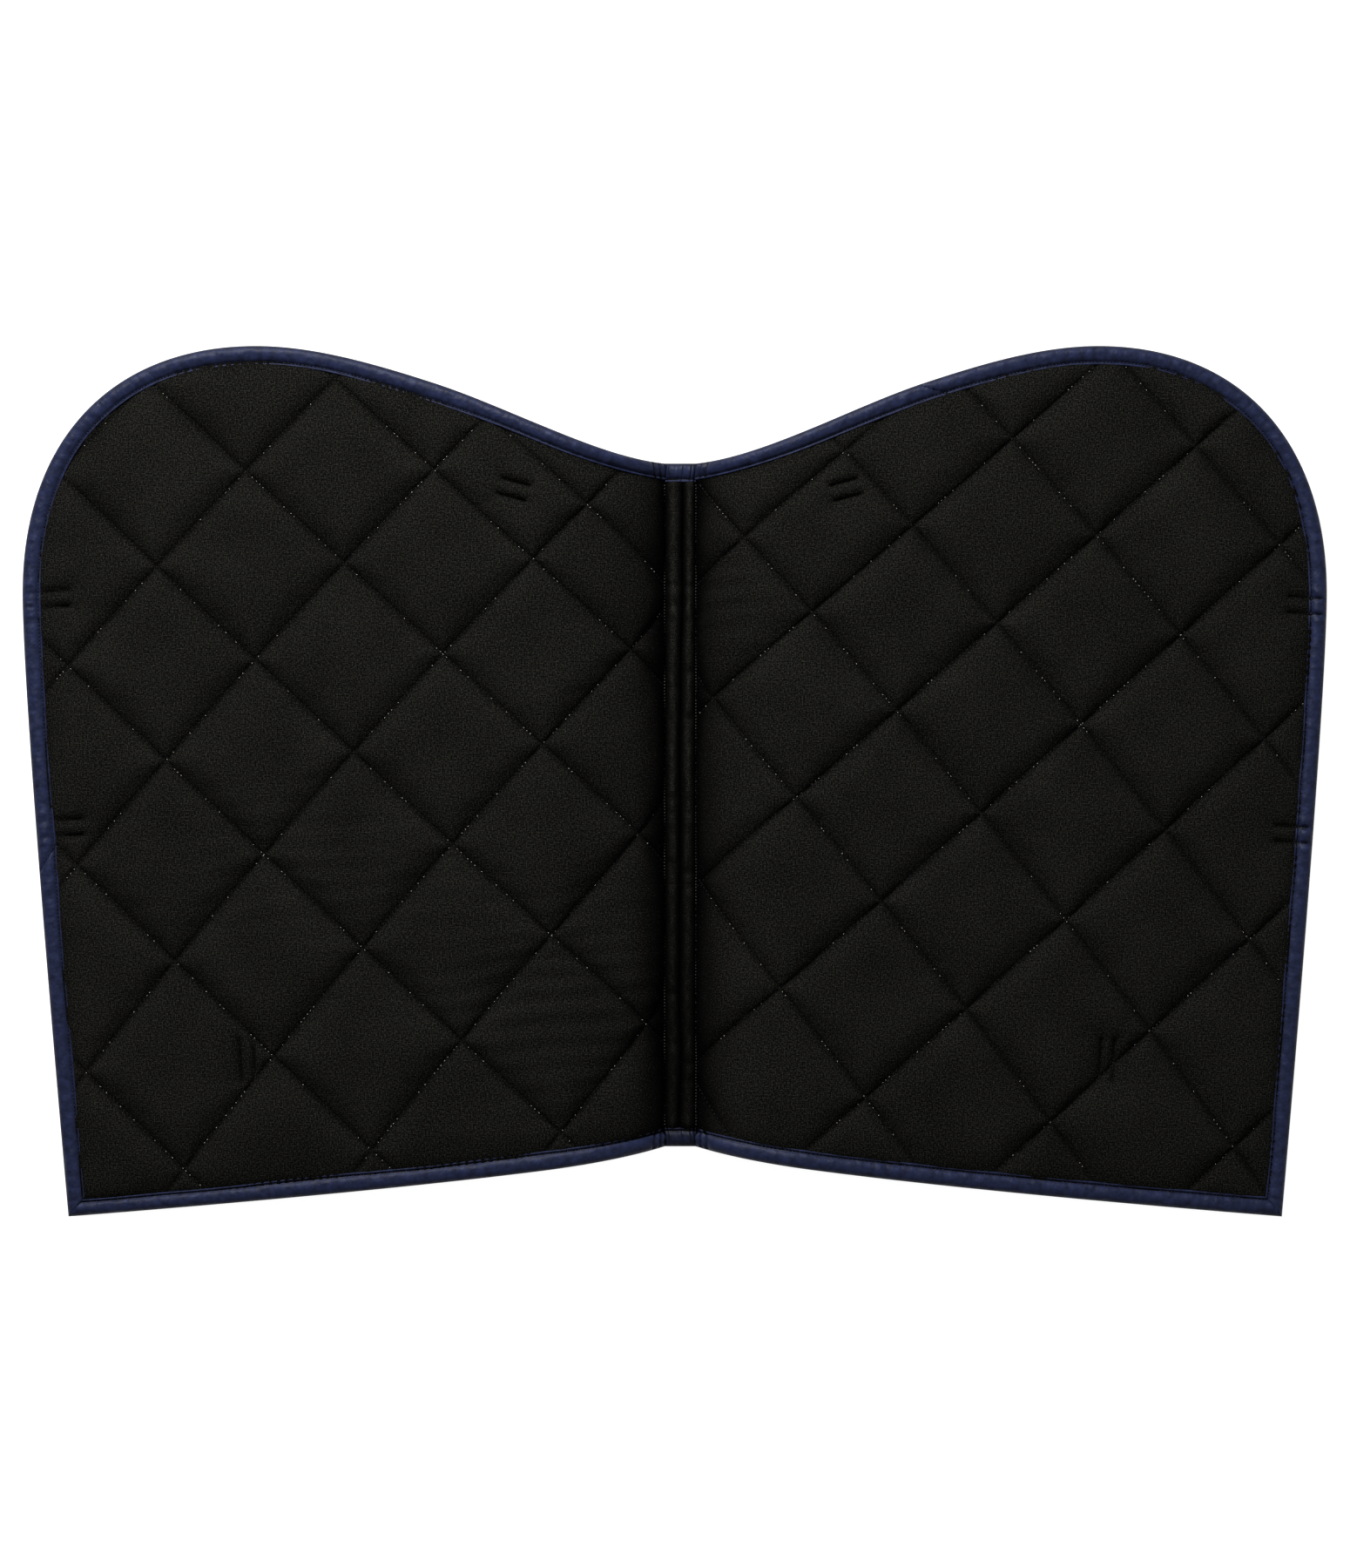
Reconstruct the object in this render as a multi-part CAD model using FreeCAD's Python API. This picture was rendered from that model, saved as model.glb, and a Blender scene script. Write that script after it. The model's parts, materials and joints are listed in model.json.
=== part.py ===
"""Dressage saddle pad, laid open on the ground with its lining up.

Millimetres. +Z is up, +Y runs along the spine towards the withers (the front of the pad), and X runs down
the two flaps. The origin is on the ground under the middle of the pad. The spine touches the ground, each
flap climbs from the spine to a crest and then falls gently to its outer edge, which a girth keeper props
up. Every flap is two rigid panels, inner and outer, because the quilting bends at the crest as the pad
closes. Each panel is a sandwich of outer shell, wadding and lining, edged with a folded binding tape.
"""
import FreeCAD, Part
import math
import os
from FreeCAD import Vector

# Driving dimensions: the sandwich
SHELL = 1.0                 # outer shell fabric
WADDING = 10.0              # quilted wadding
LINING = 1.0                # lining fabric
HALF = (SHELL + WADDING + LINING) / 2
PINCH = 0.25                # share of the thickness left where the flap is sewn down beside the spine
PINCH_RUN = 16.0            # how far the sandwich takes to swell to its full thickness

# The spine
SPINE_FRONT = 287.0         # y of the spine's front end
SPINE_REAR = -327.0         # y of its rear end
SPINE_HALF = 11.0           # half the width of the strip between the two rows of topstitching
SEAM_GAP = 0.3              # slit of the middle seam
SPINE_TAPE = 1.5            # tape under the seam, on the outer face
TAPE_OVERLAP = 1.5          # how far that tape covers each flap
TAPE_SHORT = 2.0            # how far it stops before either end of the spine
TAPE_CORNER = 1.0           # radius of its corners
SPINE_TOP = 9.0             # height of the lining there
HINGE_X = 14.0              # a flap's inner edge, which is its hinge
HINGE_Z = 6.0

# The flap's section: an arc that climbs from the spine, then a plane down to the outer edge
START_SLOPE = 40.0          # degrees, at the hinge
FALL_SLOPE = 3.0            # degrees, of the outer panel
BEND_X = 118.0              # where the inner panel meets the outer one
BEND_GAP = 0.3
EDGE_MARGIN = 640.0         # x that every trimmed panel is drawn out to
PAD_REACH = 450.0           # y that every panel is drawn out to, ahead and behind

# The binding tape
BINDING_WIDTH = 17.0        # what shows of it on either face
BINDING_WALL = 0.8
BINDING_FOLD = 1.0          # its thickness at the very edge
JOIN_SIDE = (563.0, -74.0)  # middle of the slanting seam that joins two tapes, on the left side edge
JOIN_FRONT = (232.0, 348.0)  # and on the right front edge
JOIN_SLANT = 1.6            # run of either seam along the tape, per unit across it
SIDE_JOIN_REACH = 40.0      # how far the parting of the side tapes runs either way from that middle
FRONT_JOIN_REACH = 80.0     # and that of the front tapes
MITRE_REACH = 200.0         # how far the parting at the rear corner runs in from the corner
PARTING_MARGIN = 60.0       # how far partings run past the pad

# What is sewn to the outer face
WEBBING = 1.6
KEEPER_WIDTH = 30.0
KEEPER_SEWN = 24.0          # length sewn down at each end
KEEPER_RAMP = 34.0
KEEPER_CENTRE = (550.7, 62.5)
KEEPER_SPAN = 229.0
KEEPER_TURN = -3.3           # degrees from the spine's direction
KEEPER_CLEAR = 0.2          # height of its lowest corner over the ground
TAB_WIDTH = 25.0
TAB_ROOT = (147.0, 260.0)   # middle of its two rows of stitching
TAB_TURN = 15.0             # degrees
TAB_SEWN = 12.0             # from the middle of the rows to the sewn end
TAB_HINGE = 8.0             # from the middle of the rows to where the tab leaves the pad
TAB_LENGTH = 118.0          # to the fold
TAB_RETURN = 96.0           # free end, folded back
TAB_DROOP = 13.0            # degrees that it hangs away from the outer face
PATCH = 0.8                 # thickness of a hook or loop patch
PATCH_LENGTH = 70.0
PATCH_INSET = 1.5           # the patches are this much narrower than the tab, on each side
PATCH_END = 10.0            # and stop this far from its fold
BADGE = (38.0, 19.0, 1.5)
BADGE_CORNER = 3.0
BADGE_CENTRE = (382.0, -245.0)
GAP = 0.3                   # between pieces that lie against each other but move apart

# The right flap's plan, as the poles of cubic curves from the spine's front end round to its rear end.
# Each line is one curve, which starts at the last pole of the line before.
FLAP_START = (HINGE_X, SPINE_FRONT)
FLAP_CURVES = [
    [(75, 289), (145, 331), (215, 355)],                    # neck, beside the withers
    [(270, 373.5), (325, 390), (377, 390)],                 # front edge
    [(505, 390), (582.5, 305), (582.5, 170)],               # rounded front corner
    [(582.5, 90), (557, -215), (541.5, -388.5)],            # side edge, down to the square rear corner
    [(360, -373), (105, -348), (HINGE_X, SPINE_REAR)],      # rear edge
]
REAR_CORNER = FLAP_CURVES[3][-1]

# Worked out from the above
START = math.radians(START_SLOPE)
FALL = math.radians(FALL_SLOPE)
RADIUS = (BEND_X - HINGE_X) / (math.sin(START) + math.sin(FALL))
ARC_CENTRE = (HINGE_X + RADIUS * math.sin(START), HINGE_Z - RADIUS * math.cos(START))
SWELL = START - PINCH_RUN / RADIUS
BEND = (BEND_X, ARC_CENTRE[1] + RADIUS * math.cos(FALL))
LOW, TALL = -60.0, 160.0    # height range of the trimming prisms
TAB_PIVOT = GAP + WEBBING   # height of the tab's hinge over the outer face


def on_arc(slope, offset):
    """A point of the inner panel's section where its slope is this, this far above its middle surface."""
    r = RADIUS + offset
    return Vector(ARC_CENTRE[0] - r * math.sin(slope), 0, ARC_CENTRE[1] + r * math.cos(slope))


def on_plane(run, offset):
    """A point of the outer panel's section, this far along it from the bend and above its middle."""
    x = BEND[0] + run * math.cos(FALL) + offset * math.sin(FALL)
    return Vector(x, 0, BEND[1] - run * math.sin(FALL) + offset * math.cos(FALL))


def along_pad(edges):
    """The solid that a closed section in the XZ plane sweeps along Y, past both ends of the pad."""
    face = Part.Face(Part.Wire(edges))
    face.translate(Vector(0, -PAD_REACH, 0))
    return face.extrude(Vector(0, 2 * PAD_REACH, 0))


def inner_layer(low, high):
    """The inner panel between two offsets from its middle surface, pinched where it meets the spine."""
    bend_slope = -FALL + BEND_GAP / 2 / RADIUS
    middle = (SWELL + bend_slope) / 2
    rim_low, rim_high = on_arc(START, low * PINCH), on_arc(START, high * PINCH)
    swell_low, swell_high = on_arc(SWELL, low), on_arc(SWELL, high)
    end_low, end_high = on_arc(bend_slope, low), on_arc(bend_slope, high)
    return along_pad([
        Part.LineSegment(rim_low, swell_low).toShape(),
        Part.Arc(swell_low, on_arc(middle, low), end_low).toShape(),
        Part.LineSegment(end_low, end_high).toShape(),
        Part.Arc(end_high, on_arc(middle, high), swell_high).toShape(),
        Part.LineSegment(swell_high, rim_high).toShape(),
        Part.LineSegment(rim_high, rim_low).toShape(),
    ])


def outer_layer(low, high):
    """The outer panel between two offsets from its middle surface."""
    far = EDGE_MARGIN - BEND_X
    corners = [
        on_plane(BEND_GAP / 2, low),
        on_plane(far, low),
        on_plane(far, high),
        on_plane(BEND_GAP / 2, high),
    ]
    return along_pad(Part.makePolygon(corners + corners[:1]).Edges)


def prism(wire):
    """An upright prism on a closed plan wire, tall enough to trim anything."""
    face = Part.Face(wire)
    face.translate(Vector(0, 0, LOW))
    return face.extrude(Vector(0, 0, TALL - LOW))


def plan(points):
    """A closed plan wire through these corners."""
    corners = [Vector(x, y, 0) for x, y in points]
    return Part.makePolygon(corners + corners[:1])


def inward(start, end):
    """Unit normal of one side of a clockwise polygon, towards its inside."""
    dx, dy = end[0] - start[0], end[1] - start[1]
    length = math.hypot(dx, dy)
    return dy / length, -dx / length


def mitred(corners, inset):
    """The corners of a clockwise polygon, moved along their mitres until every side is this far inside."""
    moved = []
    for i, (x, y) in enumerate(corners):
        before = inward(corners[i - 1], (x, y))
        after = inward((x, y), corners[(i + 1) % len(corners)])
        stretch = inset / (1 + before[0] * after[0] + before[1] * after[1])
        moved.append(Vector(x + (before[0] + after[0]) * stretch, y + (before[1] + after[1]) * stretch, 0))
    return moved


def outline(inset):
    """The right flap's plan as a wire, this far inside the finished edge. It runs past the spine.

    The curves' poles are a polygon, and moving its sides inwards moves the curves with them."""
    past_spine = -2 * BINDING_WIDTH
    poles = [(past_spine, SPINE_REAR), (past_spine, SPINE_FRONT), FLAP_START]
    for curve in FLAP_CURVES:
        poles += curve
    poles = mitred(poles, inset)
    edges = [Part.makeLine(poles[0], poles[1]), Part.makeLine(poles[1], poles[2])]
    for i in range(len(FLAP_CURVES)):
        curve = Part.BezierCurve()
        curve.setPoles(poles[2 + 3 * i:6 + 3 * i])
        edges.append(curve.toShape())
    edges.append(Part.makeLine(poles[-1], poles[0]))
    return Part.Wire(edges)


def flap_panels(layer):
    """Shell, wadding and lining of one panel, trimmed to leave room for the fold of the binding."""
    trim = prism(outline(BINDING_FOLD))
    levels = {
        "shell": (-HALF, -HALF + SHELL),
        "wadding": (-HALF + SHELL, HALF - LINING),
        "lining": (HALF - LINING, HALF),
    }
    return {name: layer(low, high).common(trim) for name, (low, high) in levels.items()}


def flap_binding(layer):
    """The whole folded tape of one panel: a channel open towards the middle of the pad."""
    band = prism(outline(0)).cut(prism(outline(BINDING_WIDTH)))
    tape = layer(-HALF - BINDING_WALL, HALF + BINDING_WALL).common(band)
    filling = layer(-HALF, HALF).common(prism(outline(BINDING_FOLD)))
    return tape.cut(filling)


def binding_regions(side):
    """Plan areas that part a flap's binding at its mitred rear corner and where two tapes are joined."""
    x, y = REAR_CORNER
    past = -PARTING_MARGIN
    rear = [(x, y), (x - MITRE_REACH, y + MITRE_REACH), (past, y + MITRE_REACH), (past, y - PARTING_MARGIN),
            (x + PARTING_MARGIN, y - PARTING_MARGIN)]
    if side == "left":
        x, y = JOIN_SIDE
        half = SIDE_JOIN_REACH
        slant = half * JOIN_SLANT
        front = [(past, y + slant), (x - half, y + slant), (x + half, y - slant), (x + half, PAD_REACH),
                 (past, PAD_REACH)]
    else:
        x, y = JOIN_FRONT
        half = FRONT_JOIN_REACH
        slant = half * JOIN_SLANT
        front = [(past, y - half), (x + slant, y - half), (x - slant, y + half), (past, y + half)]
    return {"rear": plan(rear), "front": plan(front)}


def outer_face_frame(centre, turn, lift):
    """The frame of things drawn flat, with +Z away from the pad, and then laid on its right outer face.

    Its origin is under centre, lift away from the face, and its +Y is turned from the spine's."""
    x, y = centre
    foot = on_plane((x - BEND_X) / math.cos(FALL), -HALF - lift)
    upside_down = FreeCAD.Rotation(Vector(0, 1, 0), 180)
    spin = FreeCAD.Rotation(Vector(0, 0, 1), turn)
    lean = FreeCAD.Rotation(Vector(0, 1, 0), FALL_SLOPE)
    return FreeCAD.Placement(Vector(foot.x, y, foot.z), lean * spin * upside_down)


def placed(shape, frame):
    """A copy of a shape, moved into a frame."""
    moved = shape.copy()
    moved.Placement = frame.multiply(shape.Placement)
    return moved


def tab_frame(droop):
    """The frame of the tab, swung away from the outer face about its hinge."""
    hinge = Vector(0, -TAB_HINGE, TAB_PIVOT)
    swing = FreeCAD.Placement(Vector(0, 0, 0), FreeCAD.Rotation(Vector(1, 0, 0), -droop), hinge)
    return outer_face_frame(TAB_ROOT, TAB_TURN, 0).multiply(swing)


def rounded_slab(width, length, thickness, radius):
    """A flat slab standing on the origin, with rounded plan corners."""
    slab = Part.makeBox(width, length, thickness, Vector(-width / 2, -length / 2, 0))
    upright = [e for e in slab.Edges if abs(e.Vertexes[0].Z - e.Vertexes[-1].Z) > thickness / 2]
    return slab.makeFillet(radius, upright)


def keeper_edge(height, slack):
    """One long edge of the girth keeper seen from its side: sewn flat, up a ramp, slack, and down again."""
    half = KEEPER_SPAN / 2
    flat = half - KEEPER_SEWN
    top = flat - KEEPER_RAMP
    edges = [Part.LineSegment(Vector(0, -top, height + slack), Vector(0, top, height + slack)).toShape()]
    for sign in (-1, 1):
        ramp = Part.BezierCurve()
        ramp.setPoles([
            Vector(0, sign * flat, height),
            Vector(0, sign * (flat - KEEPER_RAMP / 3), height),
            Vector(0, sign * (top + KEEPER_RAMP / 3), height + slack),
            Vector(0, sign * top, height + slack),
        ])
        edges.append(ramp.toShape())
        end, foot = Vector(0, sign * half, height), Vector(0, sign * flat, height)
        edges.append(Part.LineSegment(end, foot).toShape())
    return edges


def girth_keeper():
    """Webbing sewn down at both ends and slack between them, so that a girth passes under it."""
    run = (KEEPER_CENTRE[0] - BEND_X) / math.cos(FALL)
    low_corner = on_plane(run + KEEPER_WIDTH / 2, -HALF - BINDING_WALL).z
    slack = low_corner - KEEPER_CLEAR - WEBBING
    half = KEEPER_SPAN / 2
    edges = keeper_edge(0, slack) + keeper_edge(WEBBING, slack)
    for end in (-half, half):
        edges.append(Part.LineSegment(Vector(0, end, 0), Vector(0, end, WEBBING)).toShape())
    face = Part.Face(Part.Wire(Part.__sortEdges__(edges)))
    face.translate(Vector(-KEEPER_WIDTH / 2, 0, 0))
    strap = face.extrude(Vector(KEEPER_WIDTH, 0, 0))
    return placed(strap, outer_face_frame(KEEPER_CENTRE, KEEPER_TURN, BINDING_WALL))


def tab_strip(start, end, base, thickness, width=TAB_WIDTH, droop=TAB_DROOP):
    """A strip of the tab, between two distances from the middle of its stitching, towards the rear."""
    strip = Part.makeBox(width, end - start, thickness, Vector(-width / 2, -end, base))
    return placed(strip, tab_frame(droop))


def tab_pieces():
    """The hook-and-loop tab: sewn end, webbing out to the fold, and the free end folded back on it."""
    loop_base = GAP + WEBBING
    hook_base = loop_base + PATCH + GAP
    end_base = hook_base + PATCH
    far = TAB_LENGTH - PATCH_END
    near = far - PATCH_LENGTH
    patch_width = TAB_WIDTH - 2 * PATCH_INSET
    return {
        "tab_anchor": tab_strip(-TAB_SEWN, TAB_HINGE - GAP, 0, WEBBING, droop=0),
        "tab_webbing": tab_strip(TAB_HINGE + GAP, TAB_LENGTH, GAP, WEBBING),
        "tab_loop_patch": tab_strip(near, far, loop_base, PATCH, patch_width),
        "tab_hook_patch": tab_strip(near, far, hook_base, PATCH, patch_width),
        "tab_free_end": tab_strip(TAB_LENGTH - TAB_RETURN, TAB_LENGTH, end_base, WEBBING),
    }


def badge():
    """A plain patch near the flap's rear corner."""
    length, width, thickness = BADGE
    return placed(rounded_slab(width, length, thickness, BADGE_CORNER), outer_face_frame(BADGE_CENTRE, 0, 0))


def spine_strip(low, high):
    """A layer of the right half of the spine strip, from the middle seam to the row of topstitching."""
    fold = BINDING_FOLD
    length = SPINE_FRONT - SPINE_REAR - 2 * fold
    return Part.makeBox(SPINE_HALF - SEAM_GAP / 2, length, high - low,
                        Vector(SEAM_GAP / 2, SPINE_REAR + fold, low))


def spine_binding(end):
    """The tape folded over one end of the spine strip."""
    outward = 1 if end == "front" else -1
    edge = SPINE_FRONT if end == "front" else SPINE_REAR
    start = min(edge, edge - outward * BINDING_WIDTH)
    inner_start = start if outward > 0 else start + BINDING_FOLD
    height = SPINE_TOP - SPINE_TAPE - BINDING_WALL
    block = Part.makeBox(2 * SPINE_HALF, BINDING_WIDTH, height + 2 * BINDING_WALL,
                         Vector(-SPINE_HALF, start, SPINE_TAPE))
    core = Part.makeBox(2 * SPINE_HALF, BINDING_WIDTH - BINDING_FOLD, height,
                        Vector(-SPINE_HALF, inner_start, SPINE_TAPE + BINDING_WALL))
    return block.cut(core)


def spine_pieces():
    """The strip between the two rows of topstitching, where the halves of the pad are joined."""
    bottom = SPINE_TAPE + BINDING_WALL
    levels = {
        "shell": (bottom, bottom + SHELL),
        "wadding": (bottom + SHELL, SPINE_TOP - LINING),
        "lining": (SPINE_TOP - LINING, SPINE_TOP),
    }
    tape_width = 2 * (SPINE_HALF + TAPE_OVERLAP)
    tape_length = SPINE_FRONT - SPINE_REAR - 2 * TAPE_SHORT
    tape = rounded_slab(tape_width, tape_length, SPINE_TAPE, TAPE_CORNER)
    tape.translate(Vector(0, (SPINE_FRONT + SPINE_REAR) / 2, 0))
    pieces = {"spine_tape": tape}
    for end in ("front", "rear"):
        pieces["spine_binding_" + end] = spine_binding(end)
    for name, (low, high) in levels.items():
        right = spine_strip(low, high)
        for end in ("front", "rear"):
            right = right.cut(pieces["spine_binding_" + end])
        pieces["spine_" + name + "_right"] = right
        pieces["spine_" + name + "_left"] = mirrored(right)
    return pieces


def mirrored(shape):
    """The same piece on the left flap."""
    return shape.mirror(Vector(0, 0, 0), Vector(1, 0, 0))


def flap_pieces(side):
    """Every piece of one flap, drawn as the right one and then mirrored if it is the left."""
    pieces = {}
    for panel, layer in (("inner", inner_layer), ("outer", outer_layer)):
        for name, shape in flap_panels(layer).items():
            pieces[panel + "_" + name] = shape
        tape = flap_binding(layer)
        regions = binding_regions(side)
        rear = prism(regions["rear"])
        front = prism(regions["front"])
        pieces[panel + "_binding_rear"] = tape.common(rear)
        tape = tape.cut(rear)
        if panel == "inner":
            pieces["inner_binding_front"] = tape
        else:
            pieces["outer_binding_front"] = tape.common(front)
            pieces["outer_binding_side"] = tape.cut(front)
    pieces["girth_keeper"] = girth_keeper()
    pieces["badge"] = badge()
    pieces.update(tab_pieces())
    if side == "left":
        pieces = {name: mirrored(shape) for name, shape in pieces.items()}
    return {side + "_" + name: shape for name, shape in pieces.items()}


def pivots():
    """Where the right flap turns: the spine hinge, the bend, and the tab's hinge and fold with their axis."""
    frame = tab_frame(TAB_DROOP)
    return {
        "spine hinge": Vector(HINGE_X, 0, HINGE_Z),
        "bend": on_plane(0, HALF + BINDING_WALL),
        "tab hinge": frame.multVec(Vector(0, -TAB_HINGE, TAB_PIVOT)),
        "tab fold": frame.multVec(Vector(0, -TAB_LENGTH, TAB_PIVOT + PATCH + GAP / 2)),
        "tab axis": frame.Rotation.multVec(Vector(-1, 0, 0)),
    }


def main():
    os.makedirs("parts", exist_ok=True)
    pieces = spine_pieces()
    for side in ("left", "right"):
        pieces.update(flap_pieces(side))
    for name, shape in pieces.items():
        solids = shape.Solids
        whole = solids[0] if len(solids) == 1 else Part.makeCompound(solids)
        print(name, len(solids), round(whole.Volume / 1000, 2), "cm3", whole.isValid())
        whole.exportStep("parts/" + name + ".step")
    for name, point in pivots().items():
        print(name, [round(value, 3) for value in point])


main()
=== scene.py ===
"""A dressage saddle pad laid open, lining up: its cloth, wadding, binding, stitching, webbing and light.

Metres, in the frame's axes: +Y runs along the spine to the withers and +Z is up. Each flap is drawn as
the right one, on a middle surface that climbs from the spine hinge, crests and falls to the side edge,
and is then mirrored if it is the left one.
"""
import json
import math

import bmesh
import bpy
import numpy as np
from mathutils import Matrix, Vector, noise


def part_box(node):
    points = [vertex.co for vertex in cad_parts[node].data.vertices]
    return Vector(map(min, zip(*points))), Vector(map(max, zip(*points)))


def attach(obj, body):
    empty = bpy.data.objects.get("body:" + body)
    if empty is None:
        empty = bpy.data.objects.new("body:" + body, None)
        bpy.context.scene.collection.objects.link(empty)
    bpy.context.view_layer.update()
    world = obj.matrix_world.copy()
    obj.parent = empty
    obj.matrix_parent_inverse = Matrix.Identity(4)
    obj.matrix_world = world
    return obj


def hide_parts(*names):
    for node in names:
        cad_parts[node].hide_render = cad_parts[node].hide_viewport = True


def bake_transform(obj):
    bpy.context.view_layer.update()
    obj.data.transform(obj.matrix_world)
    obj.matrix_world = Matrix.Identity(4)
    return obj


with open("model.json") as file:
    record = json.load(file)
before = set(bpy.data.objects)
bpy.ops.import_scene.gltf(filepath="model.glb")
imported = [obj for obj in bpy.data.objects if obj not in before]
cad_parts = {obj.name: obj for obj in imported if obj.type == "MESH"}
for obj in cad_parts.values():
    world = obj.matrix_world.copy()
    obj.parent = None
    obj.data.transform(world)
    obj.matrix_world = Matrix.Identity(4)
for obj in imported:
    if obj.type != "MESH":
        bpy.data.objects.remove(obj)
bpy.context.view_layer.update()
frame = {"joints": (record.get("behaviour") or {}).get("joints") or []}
joints = {joint["name"]: joint for joint in frame["joints"]}

MM = 0.001
SIDES = {"left": -1, "right": 1}

# ---------------------------------------------------------------- the flap's shape
HINGE_X, _, HINGE_Z = joints["right_fold"]["pos_m"]
BEND_X = 0.118
START = math.radians(40)            # slope at the hinge
FALL = math.radians(3)              # slope of the outer panel
RADIUS = (BEND_X - HINGE_X) / (math.sin(START) + math.sin(FALL))
S_BEND = RADIUS * (START + FALL)    # length of the climbing arc
CENTRE_X = HINGE_X + RADIUS * math.sin(START)
CENTRE_Z = HINGE_Z - RADIUS * math.cos(START)
SPINE_FRONT, SPINE_REAR = 0.287, -0.327
SETTLE = 5 * MM                     # the arc sinks this much halfway along the spine
EDGE_X = 0.5825
EDGE_SHIFT = {"left": 7 * MM, "right": -3 * MM}     # the left flap is a little wider than the right one
PINCH_RUN = 16 * MM                 # the sandwich is thin over this much of the flap beside the spine

# Poles of the right flap's outline, three more for every curve, from the spine's front end to its rear
FLAP_POLES = [
    (HINGE_X, SPINE_FRONT),
    (0.075, 0.289), (0.145, 0.331), (0.215, 0.355),
    (0.270, 0.3735), (0.325, 0.390), (0.377, 0.390),
    (0.505, 0.390), (0.5825, 0.305), (0.5825, 0.170),
    (0.5825, 0.090), (0.557, -0.215), (0.5415, -0.3885),
    (0.360, -0.373), (0.105, -0.348), (HINGE_X, SPINE_REAR),
]
CORNER_CURVE = 4                    # the rear edge's curve, which starts at the square corner
CURVES = 5

# ---------------------------------------------------------------- the quilted sandwich
CLOTH = 0.9 * MM                    # thickness of lining and shell
SEAM_HALF = 1.6 * MM                # half thickness at a quilting seam
LOFT = 7.2 * MM                     # how far a pillow stands over the seams
LOFT_UNDER = 0.6                    # share of that on the outer face
CREASE_WIDTH, CROWN_WIDTH = 2.0 * MM, 9.5 * MM      # a pillow rises steeply beside a seam, then gently
QUILT = 0.1195                      # side of a quilted square
QUILT_DRAW = 0.10                   # the squares are shorter towards the front, per metre
QUILT_SKEW = 0.15                   # and this much less so towards the side edge
QUILT_SKEW_FROM = 0.25
# For each flap: a crossing of two seams, the directions of the seams and where the withers' last seam lies
QUILTING = {
    "left": ((0.2830, 0.0268), math.radians(43.2), math.radians(-48.6), -2.60),
    "right": ((0.2633, -0.0273), math.radians(41.0), math.radians(-50.4), -2.79),
}
SEAM_COUNT = 9                      # seams are drawn out to this many squares from the crossing
DIVISIONS = 32                      # grid steps along a square's side
QUILT_PITCH = 4.2 * MM              # between stitches

# ---------------------------------------------------------------- the binding
BINDING = 17 * MM
BINDING_TAPE = 0.6 * MM
BINDING_SEAM = 14.4 * MM            # the stitching's distance from the finished edge
# Half of the folded tape's section, in millimetres: distance from the finished edge, height over the middle
BINDING_SECTION = [(17.0, 2.3), (16.8, 3.1), (16.2, 3.4), (15.4, 2.9), (14.7, 1.7),
                   (14.0, 1.8), (13.0, 3.1), (11.4, 4.1), (9.2, 4.8), (6.8, 5.0),
                   (4.6, 4.6), (2.8, 3.8), (1.4, 2.7), (0.5, 1.5), (0.0, 0.0)]
# Where two lengths of tape meet: a plan point and the seam's normal, towards the second length
TAPE_JOIN = {
    "left": ((0.563, -0.074), (-1.6, -1.0)),
    "right": ((0.232, 0.348), (0.3, 1.0)),
}

# ---------------------------------------------------------------- what is sewn on, on the outer face
KEEPER = {"left": (0.5480, 0.062), "right": (0.5550, 0.056)}
KEEPER_WIDTH, KEEPER_SPAN = 30 * MM, 229 * MM
KEEPER_TURN = math.radians(-3.3)
KEEPER_SEWN, KEEPER_RAMP = 24 * MM, 34 * MM
ROW_GAP = 14 * MM                   # between the two rows of stitching at each end
ROW_FROM_MIDDLE = KEEPER_SPAN / 2 - 5 * MM
TAB_ROOT = (0.147, 0.260)
TAB_TURN = math.radians(15)
TAB_WIDTH = 25 * MM
TAB_FOLD = 109 * MM                 # from its pivot to where the webbing turns back
TAB_END_LEVEL = 2.7 * MM            # the free end's height over the hanging webbing
TAB_OFFSET = 0.95 * MM              # how far the fold's axis lies off the line of the webbing
BADGE_AT = (0.382, -0.247)
BADGE_TURN = math.radians(-3)
BADGE_WIDTH, BADGE_LENGTH = 19 * MM, 38 * MM
OUTER_FACE = -5.6 * MM              # level of what is sewn on, from the middle surface
WEBBING_HALF = 0.8 * MM


def smooth(t):
    """0 to 1, level at both ends."""
    t = np.clip(t, 0, 1)
    return t * t * (3 - 2 * t)


def bell(distance, width):
    return np.exp(-(distance / width) ** 2)


def unit(vectors):
    return vectors / np.linalg.norm(vectors, axis=-1, keepdims=True)


def lengths(points):
    """How far along a line of points each one is."""
    return np.concatenate([[0], np.cumsum(np.linalg.norm(np.diff(points, axis=0), axis=1))])


def packed(*values):
    """Points or texture places from their coordinates, which are broadcast together."""
    return np.stack(np.broadcast_arrays(*values), -1)


def joined(groups):
    """Several sets of stitch places as one."""
    return [np.concatenate(values) for values in zip(*groups)]


def run_of(x):
    """Distance along the flap's section from the hinge, at this x."""
    x = np.asarray(x, float)
    on_arc = RADIUS * (START - np.arcsin(np.clip((CENTRE_X - x) / RADIUS, -1, 1)))
    return np.where(x > BEND_X, S_BEND + (x - BEND_X) / math.cos(FALL), on_arc)


def middle(run, y):
    """The right flap's middle surface and its normal: x, z, normal x, normal z."""
    slope = START - np.minimum(run, S_BEND) / RADIUS
    past = np.maximum(run - S_BEND, 0)
    x = CENTRE_X - RADIUS * np.sin(slope) + past * math.cos(FALL)
    z = CENTRE_Z + RADIUS * np.cos(slope) - past * math.sin(FALL)
    across = np.sin(np.pi * np.clip(run / S_BEND, 0, 1)) ** 2
    along = np.clip(1 - ((y + 0.02) / 0.26) ** 2, 0, 1)
    return x, z - SETTLE * across * along, -np.sin(slope), np.cos(slope)


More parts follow.
